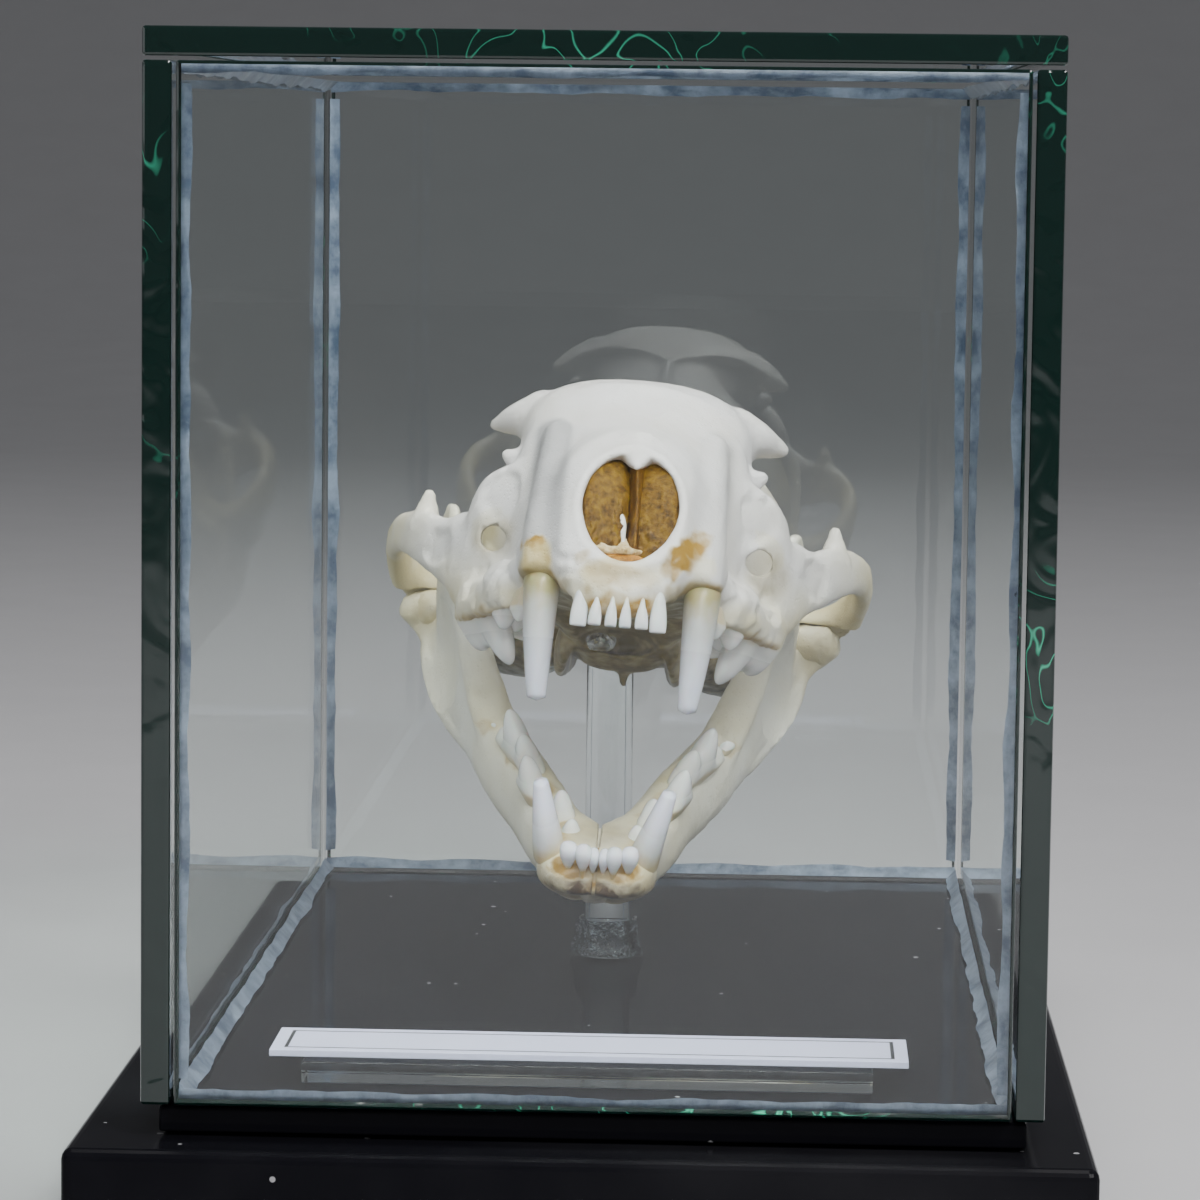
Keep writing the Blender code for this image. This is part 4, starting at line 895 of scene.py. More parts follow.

# Stain or painted shade: lays a colour over another where a painted amount is strong, with a broken, cloudy edge.
stain_or_shade, stain_in, stain_out = new_group(
    "Stain or painted shade", dict(Under=None, Light=None, Deep=None, Amount=0.0, Scale=500.0, Break=0.5), ["Color"])
stain_noise = add_texture(stain_or_shade, "Noise", Scale=(stain_in, "Scale"), Detail=2.5, Roughness=0.6)
stain_offset = add_math(stain_or_shade, "SUBTRACT", (stain_noise, "Fac"), 0.5)
stain_break = add_math(stain_or_shade, "MULTIPLY", (stain_offset, "Value"), (stain_in, "Break"))
stain_twice = add_math(stain_or_shade, "MULTIPLY", (stain_in, "Amount"), 2.0)
stain_edge = add_math(stain_or_shade, "MULTIPLY_ADD", (stain_break, "Value"), (stain_twice, "Value"), (stain_in, "Amount"),
                      use_clamp=True)
stain_tint = add_mix(stain_or_shade, (stain_edge, "Value"), (stain_in, "Light"), (stain_in, "Deep"))
stain_over = add_mix(stain_or_shade, (stain_edge, "Value"), (stain_in, "Under"), (stain_tint, "Result"))
feed(stain_or_shade, stain_out, Color=(stain_over, "Result"))

IVORY = ((0.77, 0.71, 0.53, 1.0), (0.66, 0.57, 0.33, 1.0))
AMBER = ((0.56, 0.41, 0.12, 1.0), (0.33, 0.18, 0.02, 1.0))
# olive tone, deep enough to serve as painted shade on the palate and in the cheek holes
OLIVE_AND_SHADE = ((0.30, 0.215, 0.025, 1.0), (0.125, 0.084, 0.003, 1.0))
GREY_ROOT_AND_SHADE = ((0.55, 0.53, 0.535, 1.0), (0.44, 0.42, 0.425, 1.0))


def bone_material(name, pale, warm, stains_and_shades, pores, pits):
    """Bone of two near tones with stains and painted shade over it. Each layer is its attribute, two colours, scale,
    break.
    """
    material, tree, shader = start_material(
        name, Specular_IOR_Level=0.42, IOR=1.5, Coat_Weight=0.12, Coat_Roughness=0.3)
    detail = add_node(tree, "ShaderNodeGroup", node_tree=grain, Pores=pores, Pits=pits)
    spread = add_node(tree, "ShaderNodeMapRange", Value=(detail, "Tone"), From_Min=0.35, From_Max=0.65)
    base = add_mix(tree, (spread, "Result"), (*pale, 1.0), (*warm, 1.0))
    colour = (base, "Result")
    for attribute, (light, deep), scale, broken in stains_and_shades:
        painted = add_node(tree, "ShaderNodeAttribute", attribute_name=attribute)
        layer = add_node(tree, "ShaderNodeGroup", node_tree=stain_or_shade, Light=light, Deep=deep, Scale=scale,
                         Break=broken, Amount=(painted, "Fac"), Under=colour)
        colour = (layer, "Color")
    dull = add_node(tree, "ShaderNodeMapRange", Value=(detail, "Tone"), From_Min=0.3, From_Max=0.7,
                    To_Min=0.36, To_Max=0.52)
    feed(tree, shader, Base_Color=colour, Roughness=(dull, "Result"))
    bumped(tree, shader, (detail, "Height"), 0.35, 0.00012)
    return material


cranium_bone = bone_material(
    "Cranium bone", (0.82, 0.78, 0.785), (0.77, 0.72, 0.69),
    [("grey", GREY_ROOT_AND_SHADE, 300.0, 0.3), ("ivory", IVORY, 220.0, 0.9), ("amber", AMBER, 600.0, 0.9),
     ("olive", OLIVE_AND_SHADE, 500.0, 1.0)],
    0.7, 0.8)


def finish_bone(bone, material, *nodes):
    """Puts a grown bone in its place as a finished piece that stands for the named solids."""
    bone.data.transform(skull_to_world)
    bone.data.materials.clear()
    finish(bone, [material], nodes)


finish_bone(cranium, cranium_bone, "cranium")


# Inside the nose: scrolls of paper-thin bone fill both passages as a granular golden brown mass, parted by a
# thin upright plate. A white splinter stands on the stained floor just behind the rim.
PASSAGE_HALF_WIDTH = 1.98
PASSAGE_HALF_HEIGHT = 4.8
scroll_mass = bmesh.new()
for side in (-1, 1):
    half_mass = bmesh.ops.create_icosphere(scroll_mass, subdivisions=6, radius=1.0)["verts"]
    for vert in half_mass:
        x, y, z = vert.co
        vert.co = (NOSE_SHIFT + (side + boxed(x, 3.2)) * PASSAGE_HALF_WIDTH, 6.8 + boxed(y, 3.0) * 2.3,
                   7.6 + boxed(z, 2.4) * PASSAGE_HALF_HEIGHT)
for vert in scroll_mass.verts:
    vert.co.y += 0.5 * (vert.co.z - 7.7) - 0.25 * abs(vert.co.x - NOSE_SHIFT)
scroll_mass.normal_update()
for vert in scroll_mass.verts:
    fold = noise.fractal(vert.co / 0.8, 0.9, 2.0, 4)
    low = min(max((9.6 - vert.co.z) / 3.0, 0.25), 1.0)
    vert.co += vert.normal * low * (0.34 * abs(fold) - 0.12)


def scroll_colour(name, light, middle, deep):
    """Thin stained bone, paler on its raised grains."""
    material, tree, shader = start_material(name, Roughness=0.5, Specular_IOR_Level=0.3,
                                            Subsurface_Weight=0.05, Subsurface_Scale=0.0006)
    speckle = add_texture(tree, "Noise", Scale=1500.0, Detail=5.0, Roughness=0.7)
    tones = add_ramp(tree, (speckle, "Fac"), (0.34, deep), (0.5, middle), (0.68, light))
    feed(tree, shader, Base_Color=(tones, "Color"))
    bumped(tree, shader, (speckle, "Fac"), 0.8, 0.0003)
    return material


golden = scroll_colour("Nasal scrolls", (0.25, 0.138, 0.002), (0.150, 0.072, 0.001), (0.045, 0.016, 0.0))
piece_from(scroll_mass, "nasal_scrolls", skull_to_world, [golden], sharp=180)

plate = bmesh.new()
add_limb(plate, [(0.95, 4.7, 3.4, 0.8, 2.4), (0.80, 6.5, 7.4, 0.8, 2.4), (0.5, 8.5, 12.0, 0.9, 2.4)],
         up=(0, 1, 0), bend=1.35)
piece_from(plate, "nasal_plate", skull_to_world,
           [scroll_colour("Nasal plate", (0.24, 0.12, 0.002), (0.13, 0.055, 0.0), (0.05, 0.018, 0.0))], sharp=180)

ledge = bmesh.new()
add_limb(ledge, [(-3.2, 3.9, 4.7, 0.6, 0.45), (-2.2, 3.4, 4.2, 0.9, 0.45), (-0.9, 3.2, 4.0, 1.0, 0.4),
                 (0.4, 3.2, 4.1, 0.9, 0.35), (1.5, 3.6, 4.05, 0.6, 0.3)])
add_spine(ledge, (-0.1, 3.7, 4.0), (0.0, 4.2, 5.0), 0.8, 0.3)
stained = bmesh.new()
add_lump(stained, (0.0, 3.3, 3.25), (2.7, 1.3, 0.65))
for mass in (ledge, stained):
    for vert in mass.verts:
        vert.co += noise.noise_vector(vert.co * 1.5) * 0.18
piece_from(ledge, "nasal_ledge", skull_to_world,
           [scroll_colour("Nasal ledge", (0.78, 0.68, 0.47), (0.68, 0.52, 0.27), (0.42, 0.26, 0.08))], sharp=180)
piece_from(stained, "nasal_floor", skull_to_world,
           [scroll_colour("Stained floor", (0.52, 0.25, 0.04), (0.34, 0.14, 0.01), (0.16, 0.06, 0.0))], sharp=180)
splinter = bmesh.new()
add_limb(splinter, [(-0.02, 3.9, 4.6, 0.16, 0.22), (-0.10, 4.0, 5.4, 0.22, 0.24), (-0.22, 4.2, 6.3, 0.30, 0.24),
                    (-0.30, 4.3, 6.9, 0.20, 0.16), (-0.32, 4.35, 7.15, 0.06, 0.06)], up=(0, 1, 0), bend=2.0)
piece_from(splinter, "nasal_splinter", skull_to_world,
           [bone_material("White splinter", (0.88, 0.87, 0.84), (0.84, 0.82, 0.76), [], 0.4, 0.5)], sharp=180)


# Palate glue: a blob of clear glue that ran onto the palate when the skull was fixed to its rod, and has set
# there as a rounded, bluish lump.
blob = bmesh.new()
add_lump(blob, (-1.5, 24.5, -0.7), (1.25, 1.5, 0.75))
for vert in blob.verts:
    vert.co += noise.noise_vector(vert.co * 1.1) * 0.3
piece_from(blob, "palate_glue", skull_to_world, [foot_glue], sharp=180)


# Upper teeth: enamel over roots that show yellow at the gum. Two long bent canines, six chisel incisors and
# the cutting cheek teeth, each seated in its socket in the cranium.
def tooth_material(name, gum, body, tip):
    """Glossy enamel that runs from the gum's tone to the tip's by the painted height of the crown."""
    material, tree, shader = start_material(name, Subsurface_Weight=0.15, Subsurface_Scale=0.001, IOR=1.6,
                                            Coat_Weight=0.45, Coat_Roughness=0.08)
    height = add_node(tree, "ShaderNodeAttribute", attribute_name="crown")
    cloud = add_texture(tree, "Noise", Scale=900.0, Detail=4.0)
    shifted = add_math(tree, "MULTIPLY_ADD", (cloud, "Fac"), 0.22, (height, "Fac"))
    tones = add_ramp(tree, (shifted, "Value"), (0.16, gum), (0.36, body), (0.85, tip))
    polish = add_node(tree, "ShaderNodeMapRange", Value=(height, "Fac"), To_Min=0.38, To_Max=0.16)
    feed(tree, shader, Base_Color=(tones, "Color"), Roughness=(polish, "Result"))
    bumped(tree, shader, (cloud, "Fac"), 0.12, 0.0001)
    return material


def teeth(name, to_world, tones, build, moved=None):
    """The mirrored teeth that build adds, each vertex then moved, as a piece with its own enamel."""
    bm = bmesh.new()
    layer = bm.verts.layers.float.new("crown")
    add_mirrored(bm, lambda half: build(half, layer))
    if moved:
        for vert in bm.verts:
            moved(vert)
    kind = name.removesuffix("_teeth").rstrip("s").replace("_", " ").capitalize()
    piece_from(bm, name, to_world, [tooth_material(kind + " enamel", *tones)], sharp=60)


def mark_crown(verts, layer, root, tip, gum_share):
    """Stores how far each point is from the gum to the tip."""
    ahead = tip - root
    for vert in verts:
        share = (vert.co - root).dot(ahead.normalized()) / ahead.length
        vert[layer] = max((share - gum_share) / (1 - gum_share), 0.0)


def add_fang(bm, layer, root, tip, base, top, bow, gum_share, sides=32, rings=46):
    """A canine: an oval cone bent by bow along its length. base and top are (half width, half length)."""
    root, tip, bow = Vector(root), Vector(tip), Vector(bow)
    ahead = (tip - root).normalized()
    side = ahead.cross(Vector((0, 1, 0))).normalized()
    lift = side.cross(ahead)

    def fang_point(ring, across, up):
        t = ring / (rings - 1)
        swell = 1 - t**1.6
        blunt = max(1 - ((t - 0.955) / 0.045) ** 3, 0.0) ** 0.4 if t > 0.955 else 1.0
        seat = 1 - 0.4 * max(1 - t / 0.16, 0.0)
        half_width, half_length = ((end + (start - end) * swell) * blunt * seat for start, end in zip(base, top))
        bent = bow * math.sin(math.pi * t)
        return root.lerp(tip, t) + bent + side * across * half_width + lift * up * half_length

    mark_crown(add_tube(bm, rings, sides, fang_point), layer, root, tip, gum_share)


CHISEL = [(0.0, 0.16, 0.36), (0.32, 0.24, 0.48), (0.52, 0.41, 0.48), (0.80, 0.52, 0.38), (0.975, 0.50, 0.22),
          (1.0, 0.42, 0.12)]
ROUND_CROWN = [(0.0, 0.16, 0.30), (0.40, 0.22, 0.36), (0.58, 0.40, 0.48), (0.76, 0.57, 0.58), (0.91, 0.50, 0.50),
               (1.0, 0.22, 0.22)]


def add_incisor(bm, layer, root, tip, width, depth, crown, gum_share):
    """A narrow root under a crown, whose rows are its share of the way, half width and half depth."""
    root, tip = Vector(root), Vector(tip)
    verts = add_limb(bm, [(*root.lerp(tip, share), width * half, depth * thick) for share, half, thick in crown],
                     up=(0, 1, 0), bend=2.6, steps=4, sides=16)
    mark_crown(verts, layer, root, tip, gum_share)


def add_cheek_tooth(bm, layer, x, d, heading, lean, profile, gum, rise, sink=1.6, sides=28):
    """A cheek tooth along the tooth row. A row is how far along and across, half thickness and height."""
    along = Vector((math.sin(math.radians(heading)), math.cos(math.radians(heading)), 0))
    across_row = Vector((along.y, -along.x, 0))
    rows = curve_through(profile, 6)
    tallest = max(row[3] for row in rows)

    def crown_point(ring, side, up):
        far, out, half, height = rows[ring]
        bend = 2.0 if up > 0 else 2.6
        reach = boxed(up, bend) * (height if up > 0 else sink)
        collar = 1 + 0.16 * math.exp(-((reach - 0.35) / 0.3) ** 2) + 0.35 * min(reach / sink, 0.0)
        middle = Vector((x, d, gum)) + along * far + across_row * out
        return middle + across_row * half * boxed(side, bend) * collar + Vector((lean, 0, rise)) * reach

    for vert in add_tube(bm, len(rows), sides, crown_point):
        vert[layer] = max((vert.co.z - gum) * rise / tallest, 0.0) ** 0.7


UPPER_INCISORS = [(0.56, 0.5, 2.2, 0.9), (1.82, 0.8, 2.15, 1.0), (3.08, 1.5, 2.25, 1.3)]
UPPER_CHEEK = [
    (7.8, 9.0, 14, 0.0, [(-1.1, 0, 0.4, 0.2), (-0.2, 0, 0.7, 1.3), (0.5, 0, 0.65, 0.8), (1.2, 0, 0.4, 0.2)]),
    (9.1, 12.4, 18, 0.0, [(-1.9, 0, 0.4, 0.2), (-1.1, 0, 0.7, 0.8), (-0.1, 0, 0.9, 1.6), (0.9, 0, 0.75, 0.9),
                          (1.7, 0, 0.5, 0.3)]),
    (10.9, 17.5, 25, -0.45, [(-3.5, 0, 0.5, 0.6), (-2.8, 0, 0.95, 2.7), (-1.9, 0, 1.2, 3.8), (-1.0, 0, 1.2, 3.7),
                             (-0.1, 0, 1.1, 2.7), (1.0, 0.2, 1.0, 2.4), (2.1, 0.3, 0.95, 2.6), (3.1, 0.4, 0.8, 2.2),
                             (3.7, 0.4, 0.4, 0.5)]),
    (8.6, 15.6, 100, 0.0, [(-1.6, 0, 0.4, 0.3), (-0.4, 0, 0.8, 1.3), (0.6, 0, 0.9, 0.7), (1.4, 0, 0.8, 0.3)]),
    (9.4, 22.9, 98, 0.0, [(-2.9, 0, 1.0, 0.3), (-1.9, 0, 1.5, 0.9), (-0.2, 0, 1.0, 0.7), (1.5, 0, 1.15, 1.4),
                          (2.5, 0, 0.7, 0.5)]),
]
front_teeth_to_world = skull_to_world @ Matrix.Translation((0.22, 0, 0))
teeth("upper_canines", front_teeth_to_world, ((0.42, 0.36, 0.16), (0.57, 0.56, 0.53), (0.76, 0.77, 0.88)),
      lambda bm, layer: add_fang(bm, layer, (6.35, 5.9, 3.4), (5.92, 6.7, -7.85), (1.5, 1.95), (0.72, 0.72),
                                 (0.1, -0.75, 0), 0.16))


def add_upper_incisors(bm, layer):
    for x, d, height, width in UPPER_INCISORS:
        root_z = 2.5 if x > 3 else 0.5
        add_incisor(bm, layer, (x * 0.96, d + 0.5, root_z), (x * 1.01, d, -height), width, 1.5, CHISEL, 0.05)


def add_upper_cheek(bm, layer):
    for x, d, heading, lean, profile in UPPER_CHEEK:
        add_cheek_tooth(bm, layer, x, d, heading, lean, profile, -0.02 * d, -1)


teeth("upper_incisors", front_teeth_to_world, ((0.66, 0.50, 0.24), (0.82, 0.80, 0.77), (0.87, 0.87, 0.89)),
      add_upper_incisors)
teeth("upper_cheek_teeth", skull_to_world, ((0.62, 0.53, 0.34), (0.68, 0.65, 0.60), (0.78, 0.77, 0.76)),
      add_upper_cheek)


# Lower jaw: two bones that meet at the chin, ivory coloured, with a thin upright branch, a rolled joint and a
# hollow for the chewing muscle. It hangs open from the jaw joints of the cranium.
jaw_to_skull = (
    Matrix.Translation((0, 43.5, 3.0)) @ Matrix.Rotation(math.radians(30.0), 4, "X") @ Matrix.Diagonal((1, -1, 1, 1))
)
JAW_BODY = [
    (0.8, 41.9, -4.0, 2.0, 1.0),
    (1.0, 40.8, -4.3, 2.8, 1.5),
    (1.3, 39.0, -4.6, 3.4, 2.0),
    (1.4, 36.8, -5.2, 3.5, 2.6),
    (1.7, 34.2, -5.8, 3.2, 3.0),
    (2.7, 32.2, -6.2, 2.6, 3.3),
    (3.6, 30.4, -6.4, 2.2, 3.4),
    (4.8, 28.0, -6.3, 2.3, 3.4),
    (6.2, 23.0, -6.4, 2.2, 3.6),
    (8.1, 18.0, -6.3, 2.25, 3.6),
    (9.8, 13.0, -6.0, 2.2, 3.5),
    (11.5, 8.6, -5.4, 1.8, 3.2),
    (13.2, 4.8, -4.4, 1.4, 2.8),
    (14.6, 1.6, -2.4, 1.3, 2.0),
    (15.4, 0.2, -0.4, 1.2, 1.3),
]
JAW_BRANCH = [
    (12.6, 8.2, -6.0, 6.0, 1.0),
    (13.0, 7.8, -3.0, 6.4, 0.85),
    (13.4, 7.4, 0.5, 6.0, 0.75),
    (13.9, 6.9, 4.5, 4.9, 0.7),
    (14.2, 6.3, 8.5, 3.5, 0.65),
    (14.3, 5.8, 11.2, 2.0, 0.55),
    (14.3, 5.5, 12.3, 0.9, 0.45),
]
JAW_FRONT_EDGE = [
    (9.2, 16.0, -4.6, 1.9, 1.3),
    (10.6, 14.0, -1.6, 1.8, 1.2),
    (11.9, 12.2, 1.6, 1.5, 1.0),
    (13.0, 10.4, 5.0, 1.1, 0.8),
    (13.9, 8.4, 8.6, 0.75, 0.7),
    (14.3, 6.6, 11.6, 0.5, 0.5),
]


def jaw_masses():
    bm = bmesh.new()
    add_limb(bm, JAW_BODY, bend=2.3)
    add_limb(bm, JAW_BRANCH, up=(1, 0.28, 0))
    add_limb(bm, [(13.0, 0, -0.1, 0.5, 0.5), (13.7, 0, 0, 1.15, 1.15), (16.2, 0, 0, 1.5, 1.5),
                  (17.7, 0, 0, 1.5, 1.5), (18.8, 0, 0.2, 0.9, 0.9)], bend=2.0)
    add_limb(bm, [(16.3, 0.1, -0.4, 2.2, 1.0), (15.6, 0.8, -1.6, 1.6, 1.1), (14.9, 1.9, -3.0, 1.3, 1.3)],
             up=(0, 1, 0))
    add_limb(bm, JAW_FRONT_EDGE, up=(0, 1, 0))
    add_lump(bm, (1.5, 36.4, -6.2), (2.3, 2.8, 2.1), tilt=12)
    return bm


def add_jaw_details(bm):
    """The rim under the muscle hollow and the heel behind it."""
    add_limb(bm, [(15.7, 0.8, -1.6, 0.9, 1.0), (15.5, 2.4, -3.6, 0.9, 1.0), (14.5, 4.8, -5.6, 0.9, 1.1),
                  (12.7, 8.4, -6.9, 0.9, 1.2), (10.6, 13.0, -7.2, 1.0, 1.4)])
    add_spine(bm, (13.6, 4.4, -6.4), (14.6, -0.6, -5.4), 1.5, 0.7, flat=0.8)


def jaw_hollows():
    """The muscle hollow, the flat joint of the two halves, two pits in the chin and two small nerve holes."""
    bm = bmesh.new()
    add_lump(bm, (16.0, 7.6, -1.4), (2.9, 5.0, 6.6), turn=17)
    add_lump(bm, (1.25, 40.1, -6.7), (0.5, 0.7, 0.5))
    add_lump(bm, (4.9, 31.6, -6.4), (0.5, 0.5, 0.42))
    add_lump(bm, (6.8, 27.6, -6.6), (0.45, 0.45, 0.36))
    flat = bmesh.ops.create_cube(bm, size=40.0)["verts"]
    bmesh.ops.translate(bm, vec=(-19.85, 36.0, 0.0), verts=flat)
    return bm


def bowed(verts):
    """The jaw isn't even: both halves bow to the right side of the head, most of all behind, on the right."""
    for vert in verts:
        x, forward = vert.co.x, vert.co.y
        if x > 0:
            bow = -0.65 * math.sin(math.pi * unit(forward / 34.0)) ** 0.6
        else:
            bow = 0.5 * math.exp(-((forward - 28.0) / 6.0) ** 2) - math.exp(-((forward - 4.0) / 7.0) ** 2)
        vert.co.x += bow * min(abs(x) / 2.5, 1.0) + 0.15 * unit((forward - 30.0) / 8.0)


def ivory_of_jaw(point):
    """Creamier inside, along the tooth row and at the joint, paler in the muscle hollow."""
    x, forward, z = point
    row = unit((z + 5.0) / 2.2) * unit((forward - 8.0) / 10.0)
    front = unit((forward - 26.0) / 12.0)
    inner = unit((12.6 - x) / 6.0) * 0.5
    joint = unit((4.5 - forward) / 3.0) * 0.75
    return max(row * 0.8, front * 0.85, inner, joint, 0.22)


JAW_AMBER_SPOTS = [
    ((4.4, 37.0, -3.1), (2.4, 2.4, 1.3), 0.6),
    ((0.3, 36.5, -8.0), (0.7, 5.0, 3.0), 0.8),
    ((0.3, 40.8, -4.6), (0.6, 1.6, 2.6), 0.7),
    ((1.4, 41.9, -3.2), (3.1, 1.8, 0.62), 1.0),
    ((2.4, 41.6, -3.7), (2.6, 1.8, 0.35), 0.6),
    ((8.6, 20.5, -3.0), (0.9, 1.6, 0.9), 0.4),
]
for tooth_x, tooth_y in ((0.9, 41.6), (1.9, 41.4), (3.0, 40.8)):
    JAW_AMBER_SPOTS.append(((tooth_x, tooth_y, -3.0), (0.6, 0.9, 0.8), 0.9))
for tooth_x, tooth_y, length in (
    (3.9, 34.4, 1.3), (4.6, 31.6, 1.8), (6.1, 27.8, 2.3), (7.9, 22.0, 4.6), (10.2, 15.8, 1.4)
):
    JAW_AMBER_SPOTS.append(((tooth_x, tooth_y, -3.1), (1.7, length, 0.7), 0.55))
jaw_amber = spots(JAW_AMBER_SPOTS)
# Brown stain on the chin and in its pits, deepened on the lower chin, which faces down, as painted shade.
BROWN_AND_SHADE = ((0.24, 0.16, 0.08, 1.0), (0.06, 0.032, 0.012, 1.0))
jaw_brown_and_shade = spots([
    ((0.0, 37.5, -7.6), (0.55, 5.0, 2.6), 0.9),
    ((1.25, 41.8, -5.0), (0.85, 2.2, 0.7), 1.0),
    ((1.5, 41.4, -4.95), (3.3, 3.0, 1.35), 0.75),
    ((3.4, 40.6, -5.2), (2.8, 3.4, 1.5), 0.42),
    ((2.6, 39.2, -6.6), (3.6, 3.4, 1.4), 0.5),
    ((0.0, 41.8, -4.6), (0.5, 1.6, 1.3), 0.6),
    ((0.8, 41.9, -3.3), (1.5, 1.2, 0.5), 0.4),
    ((0.0, 35.6, -3.4), (3.4, 3.0, 1.7), 0.28),
    ((0.0, 33.4, -4.2), (0.5, 1.6, 1.6), 0.5),
])
jaw_bone = bone_material(
    "Jaw bone", (0.84, 0.82, 0.75), (0.79, 0.75, 0.63),
    [("ivory", IVORY, 240.0, 0.8), ("amber", AMBER, 600.0, 1.0), ("brown", BROWN_AND_SHADE, 900.0, 0.8)],
    0.8, 1.0)


for name, node, side, seed in (("jaw_bone_left", "jaw_left", 1, 5), ("jaw_bone_right", "jaw_right", -1, 6)):
    jaw = bone_with_details(name, jaw_masses(), add_jaw_details, 0.26, 8, 0.2, 4)
    cut_away(jaw, jaw_hollows())
    roughened(jaw.data, 3.4, 0.09, seed)
    roughened(jaw.data, 0.8, 0.025, seed + 10)
    paint(jaw.data, ivory=ivory_of_jaw, amber=jaw_amber, brown=jaw_brown_and_shade)
    jaw.data.transform(Matrix.Diagonal((side, 1, 1, 1)))
    bowed(jaw.data.vertices)
    jaw.data.transform(jaw_to_skull)
    if side > 0:
        jaw.data.flip_normals()
    finish_bone(jaw, jaw_bone, node)

gristle = bmesh.new()
add_limb(gristle, [(0, 41.6, -4.1, 0.17, 0.8), (0, 40.8, -4.4, 0.17, 1.3), (0, 39.0, -4.7, 0.17, 1.8),
                   (0, 36.8, -5.3, 0.17, 2.4), (0, 34.4, -5.9, 0.17, 2.75), (0, 33.7, -6.0, 0.17, 2.6)], bend=5.0)
add_limb(gristle, [(0, 41.4, -4.6, 0.3, 0.4), (0, 40.4, -5.5, 0.7, 0.6), (0, 38.8, -6.5, 1.2, 0.8),
                   (0, 37.0, -7.3, 1.5, 0.9), (0, 35.0, -7.5, 1.3, 0.8), (0, 33.4, -7.1, 0.6, 0.5)])
chin_gristle = grown_bone("chin_gristle", gristle, 0.1, 2)
roughened(chin_gristle.data, 0.9, 0.08, 21)
paint(chin_gristle.data, ivory=lambda point: 0.5,
      amber=lambda point: (point.z + 5.6) / 1.2 if point.y > 38 else 0.0,
      brown=lambda point: 0.3 * noise.noise(point * 1.3) + 0.25 if point.y > 36.0 else 0.2)
bowed(chin_gristle.data.vertices)
chin_gristle.data.transform(jaw_to_skull)
finish_bone(chin_gristle, jaw_bone)
for name, side in (("joint_gristle_left", 1), ("joint_gristle_right", -1)):
    gristle = bmesh.new()
    add_limb(gristle, [(side * 13.9, 43.6, 3.0, 0.8, 0.8), (side * 14.6, 43.5, 3.0, 1.6, 1.6),
                       (side * 16.6, 43.5, 3.0, 1.72, 1.72), (side * 17.8, 43.4, 3.05, 1.5, 1.5),
                       (side * 18.5, 43.4, 3.2, 0.8, 0.8)], bend=2.0, steps=8, sides=40)
    joint_gristle = object_from(gristle, name)
    roughened(joint_gristle.data, 1.2, 0.16, 9 + side)
    paint(joint_gristle.data, ivory=lambda point: 0.8, amber=lambda point: 0.12, brown=lambda point: 0.0)
    finish_bone(joint_gristle, jaw_bone)


# Lower teeth: small bead-like incisors on stained roots, two canines that lean outwards, and cheek teeth that
# grow to the long cutting tooth and its small neighbour behind.
GUM = -3.0
LOWER_INCISORS = [(0.40, 41.4, 1.75, 0.75), (1.18, 41.8, 2.2, 1.15), (2.35, 41.3, 2.1, 1.25)]
LOWER_CHEEK = [
    (3.1, 35.4, -20, 0.0, [(-0.9, 0, 0.4, 0.2), (0.1, 0, 0.7, 1.4), (0.9, 0, 0.4, 0.3)]),
    (4.0, 32.2, -20, 0.1, [(-1.6, 0, 0.45, 0.3), (-0.8, 0, 0.75, 0.9), (0.3, 0, 0.9, 2.4), (1.4, 0, 0.6, 0.4)]),
    (6.0, 28.2, -22, 0.25, [(-2.3, 0, 0.5, 0.4), (-1.4, 0, 0.9, 1.5), (0.2, 0, 1.05, 3.3), (1.3, 0, 0.85, 1.4),
                            (2.0, 0, 0.5, 0.4)]),
    (7.3, 22.0, -22, 0.3, [(-4.4, 0, 0.7, 0.5), (-3.2, 0, 1.2, 1.5), (-1.9, 0, 1.2, 1.3), (-0.4, 0, 1.2, 4.2),
                           (1.0, 0, 1.0, 2.3), (2.6, 0, 1.1, 3.2), (3.8, 0, 0.6, 0.6)]),
    (9.8, 15.9, -22, 0.1, [(-1.0, 0, 0.5, 0.2), (0, 0, 0.8, 0.6), (1.0, 0, 0.5, 0.2)]),
]
jaw_to_world = skull_to_world @ jaw_to_skull
front_to_world = jaw_to_world @ Matrix.Translation((0.36, 0, 0))


def splay(vert):
    """The canines lean out to the left side of the head."""
    vert.co.x += 0.05 + 0.28 * unit((vert.co.z - GUM) / 6.0)


teeth("lower_canines", jaw_to_world, ((0.62, 0.50, 0.27), (0.76, 0.75, 0.74), (0.80, 0.80, 0.93)),
      lambda bm, layer: add_fang(bm, layer, (3.5, 37.6, GUM - 2.0), (5.15, 38.75, GUM + 5.95), (1.33, 1.75),
                                 (0.56, 0.56), (-0.1, 0.8, 0), 0.22), splay)


def add_lower_incisors(bm, layer):
    for x, forward, height, width in LOWER_INCISORS:
        tip = (x * 1.04, forward + 0.5, GUM + height)
        add_incisor(bm, layer, (x, forward - 0.6, GUM - 1.8), tip, width, 1.3, ROUND_CROWN, 0.40)


def add_lower_cheek(bm, layer):
    for x, forward, heading, lean, profile in LOWER_CHEEK:
        add_cheek_tooth(bm, layer, x, forward, heading, lean, profile, GUM - 0.2, 1)


def follow_bow(vert):
    """The rows of cheek teeth follow the bow of the two halves of the jaw."""
    forward = unit((vert.co.y - 29.0) / 3.0)
    vert.co.x += (0.3 + 0.6 * forward) if vert.co.x < 0 else (0.3 * forward - 0.25)


teeth("lower_incisors", front_to_world, ((0.60, 0.42, 0.16), (0.82, 0.80, 0.78), (0.86, 0.86, 0.93)),
      add_lower_incisors)
teeth("lower_cheek_teeth", jaw_to_world, ((0.66, 0.55, 0.32), (0.80, 0.78, 0.70), (0.85, 0.85, 0.83)),
      add_lower_cheek, follow_bow)


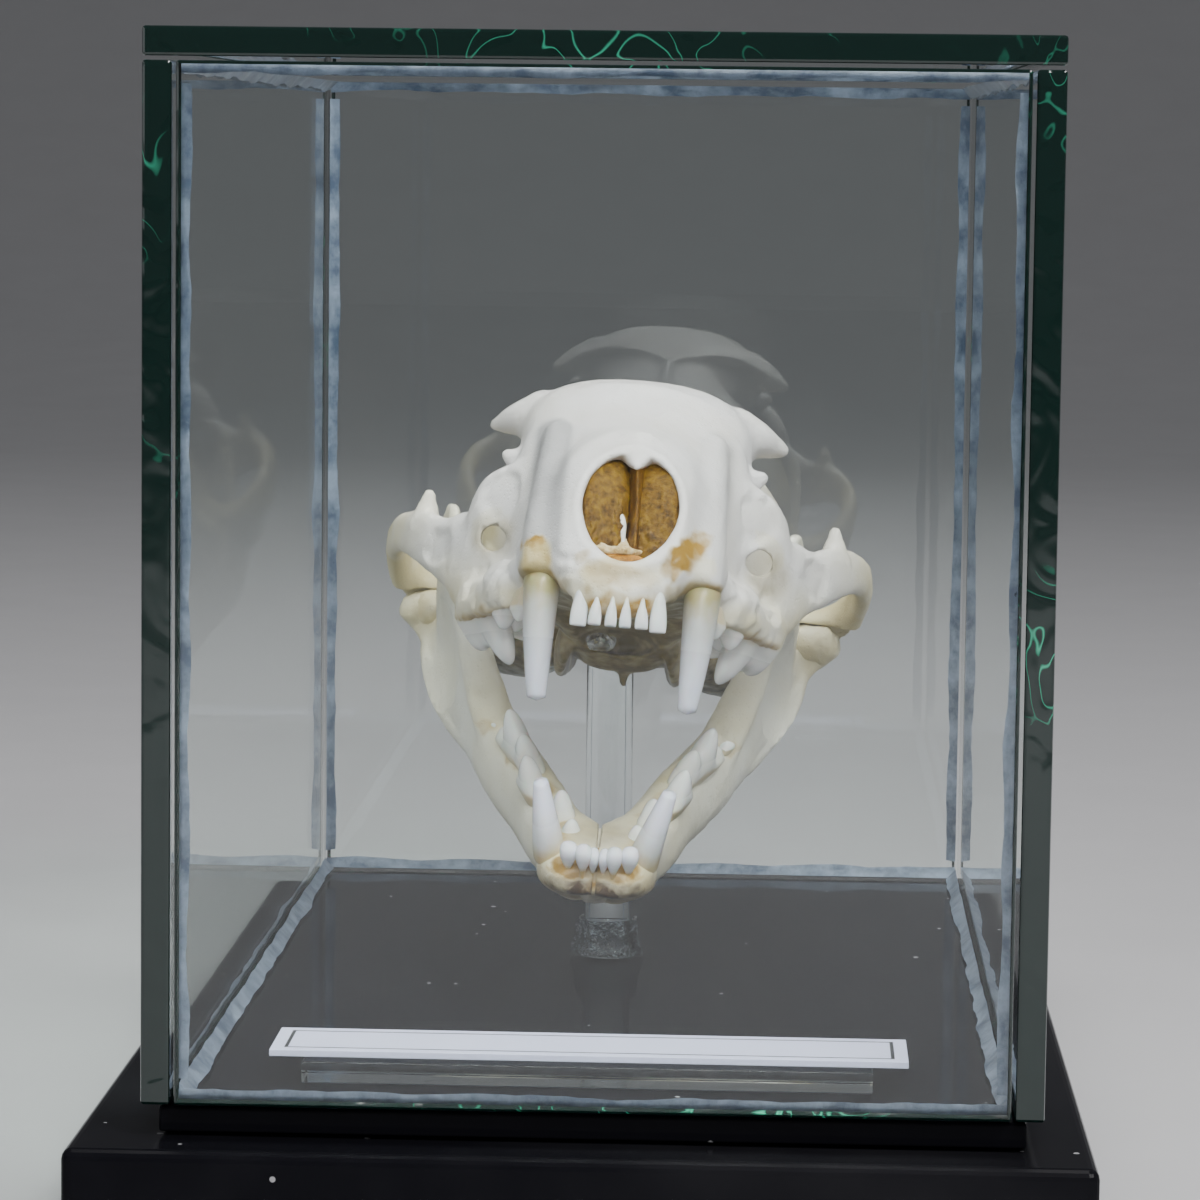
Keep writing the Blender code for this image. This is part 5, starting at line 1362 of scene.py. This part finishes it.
# Stage: plain matt paper that curves up behind the case, four soft boxes in a pale room, and a camera at the
# photograph's angle.
floor_colour, floor_tree, floor_shader = start_material("Stage paper", Roughness=0.9)
mottled(floor_tree, floor_shader, (0.56, 0.56, 0.57), (0.60, 0.60, 0.61), Scale=60.0, Detail=3.0)
stage = bmesh.new()
bmesh.ops.create_grid(stage, x_segments=1, y_segments=1, size=2.0)
far_edge = [edge for edge in stage.edges if all(vert.co.y > 1.9 for vert in edge.verts)]
raised = bmesh.ops.extrude_edge_only(stage, edges=far_edge)["geom"]
bmesh.ops.translate(stage, vec=(0, 0, 2.5), verts=[item for item in raised if isinstance(item, bmesh.types.BMVert)])
bmesh.ops.bevel(stage, geom=far_edge, offset=1.2, segments=16, profile=0.5, affect="EDGES", material=-1)
for face in stage.faces:
    face.smooth = True
stage_floor = object_from(stage, "stage_floor", outward=False)
stage_floor.data.materials.append(floor_colour)


def soft_light(name, place, aim, size, watts, colour):
    """A square soft box that faces a point."""
    lamp = bpy.data.lights.new(name, "AREA")
    lamp.size = size
    lamp.energy = watts
    lamp.color = colour
    place = Vector(place)
    turn = (Vector(aim) - place).to_track_quat("-Z", "Y").to_matrix().to_4x4()
    new_object(name, lamp).matrix_world = Matrix.Translation(place) @ turn


SKULL_MIDDLE = (0.0, -0.01, 0.05)
soft_light("Key", (0.22, -0.37, 0.50), SKULL_MIDDLE, 0.20, 3.1, (1.0, 0.98, 0.985))
soft_light("Fill", (-0.45, -0.35, 0.22), SKULL_MIDDLE, 0.30, 0.3, (0.97, 0.97, 1.0))
soft_light("Top", (0.04, 0.02, 0.60), SKULL_MIDDLE, 0.26, 1.5, (1.0, 0.99, 1.0))
soft_light("Front strip", (0.02, -0.52, 0.30), SKULL_MIDDLE, 0.04, 0.8, (1.0, 1.0, 1.0))

world = bpy.data.worlds.new("Studio")
world.use_nodes = True
feed(world.node_tree, world.node_tree.nodes["Background"], Color=(0.62, 0.64, 0.67, 1.0), Strength=0.17)
bpy.context.scene.world = world

CAMERA_PLACE = (0.01364, -0.37333, 0.08177)
CAMERA_TURN = (0.040, 0.101, 0.012)  # turn about the upright, tip downwards and roll, in radians
yaw, pitch, roll = CAMERA_TURN
lens = bpy.data.cameras.new("Camera")
lens.lens = 135.0
lens.sensor_width = 36.0
lens.clip_start = 0.01
camera = new_object("Camera", lens)
camera.matrix_world = (
    Matrix.Translation(CAMERA_PLACE)
    @ Matrix.Rotation(yaw, 4, "Z")
    @ Matrix.Rotation(math.radians(90) - pitch, 4, "X")
    @ Matrix.Rotation(roll, 4, "Z")
)
bpy.context.scene.camera = camera
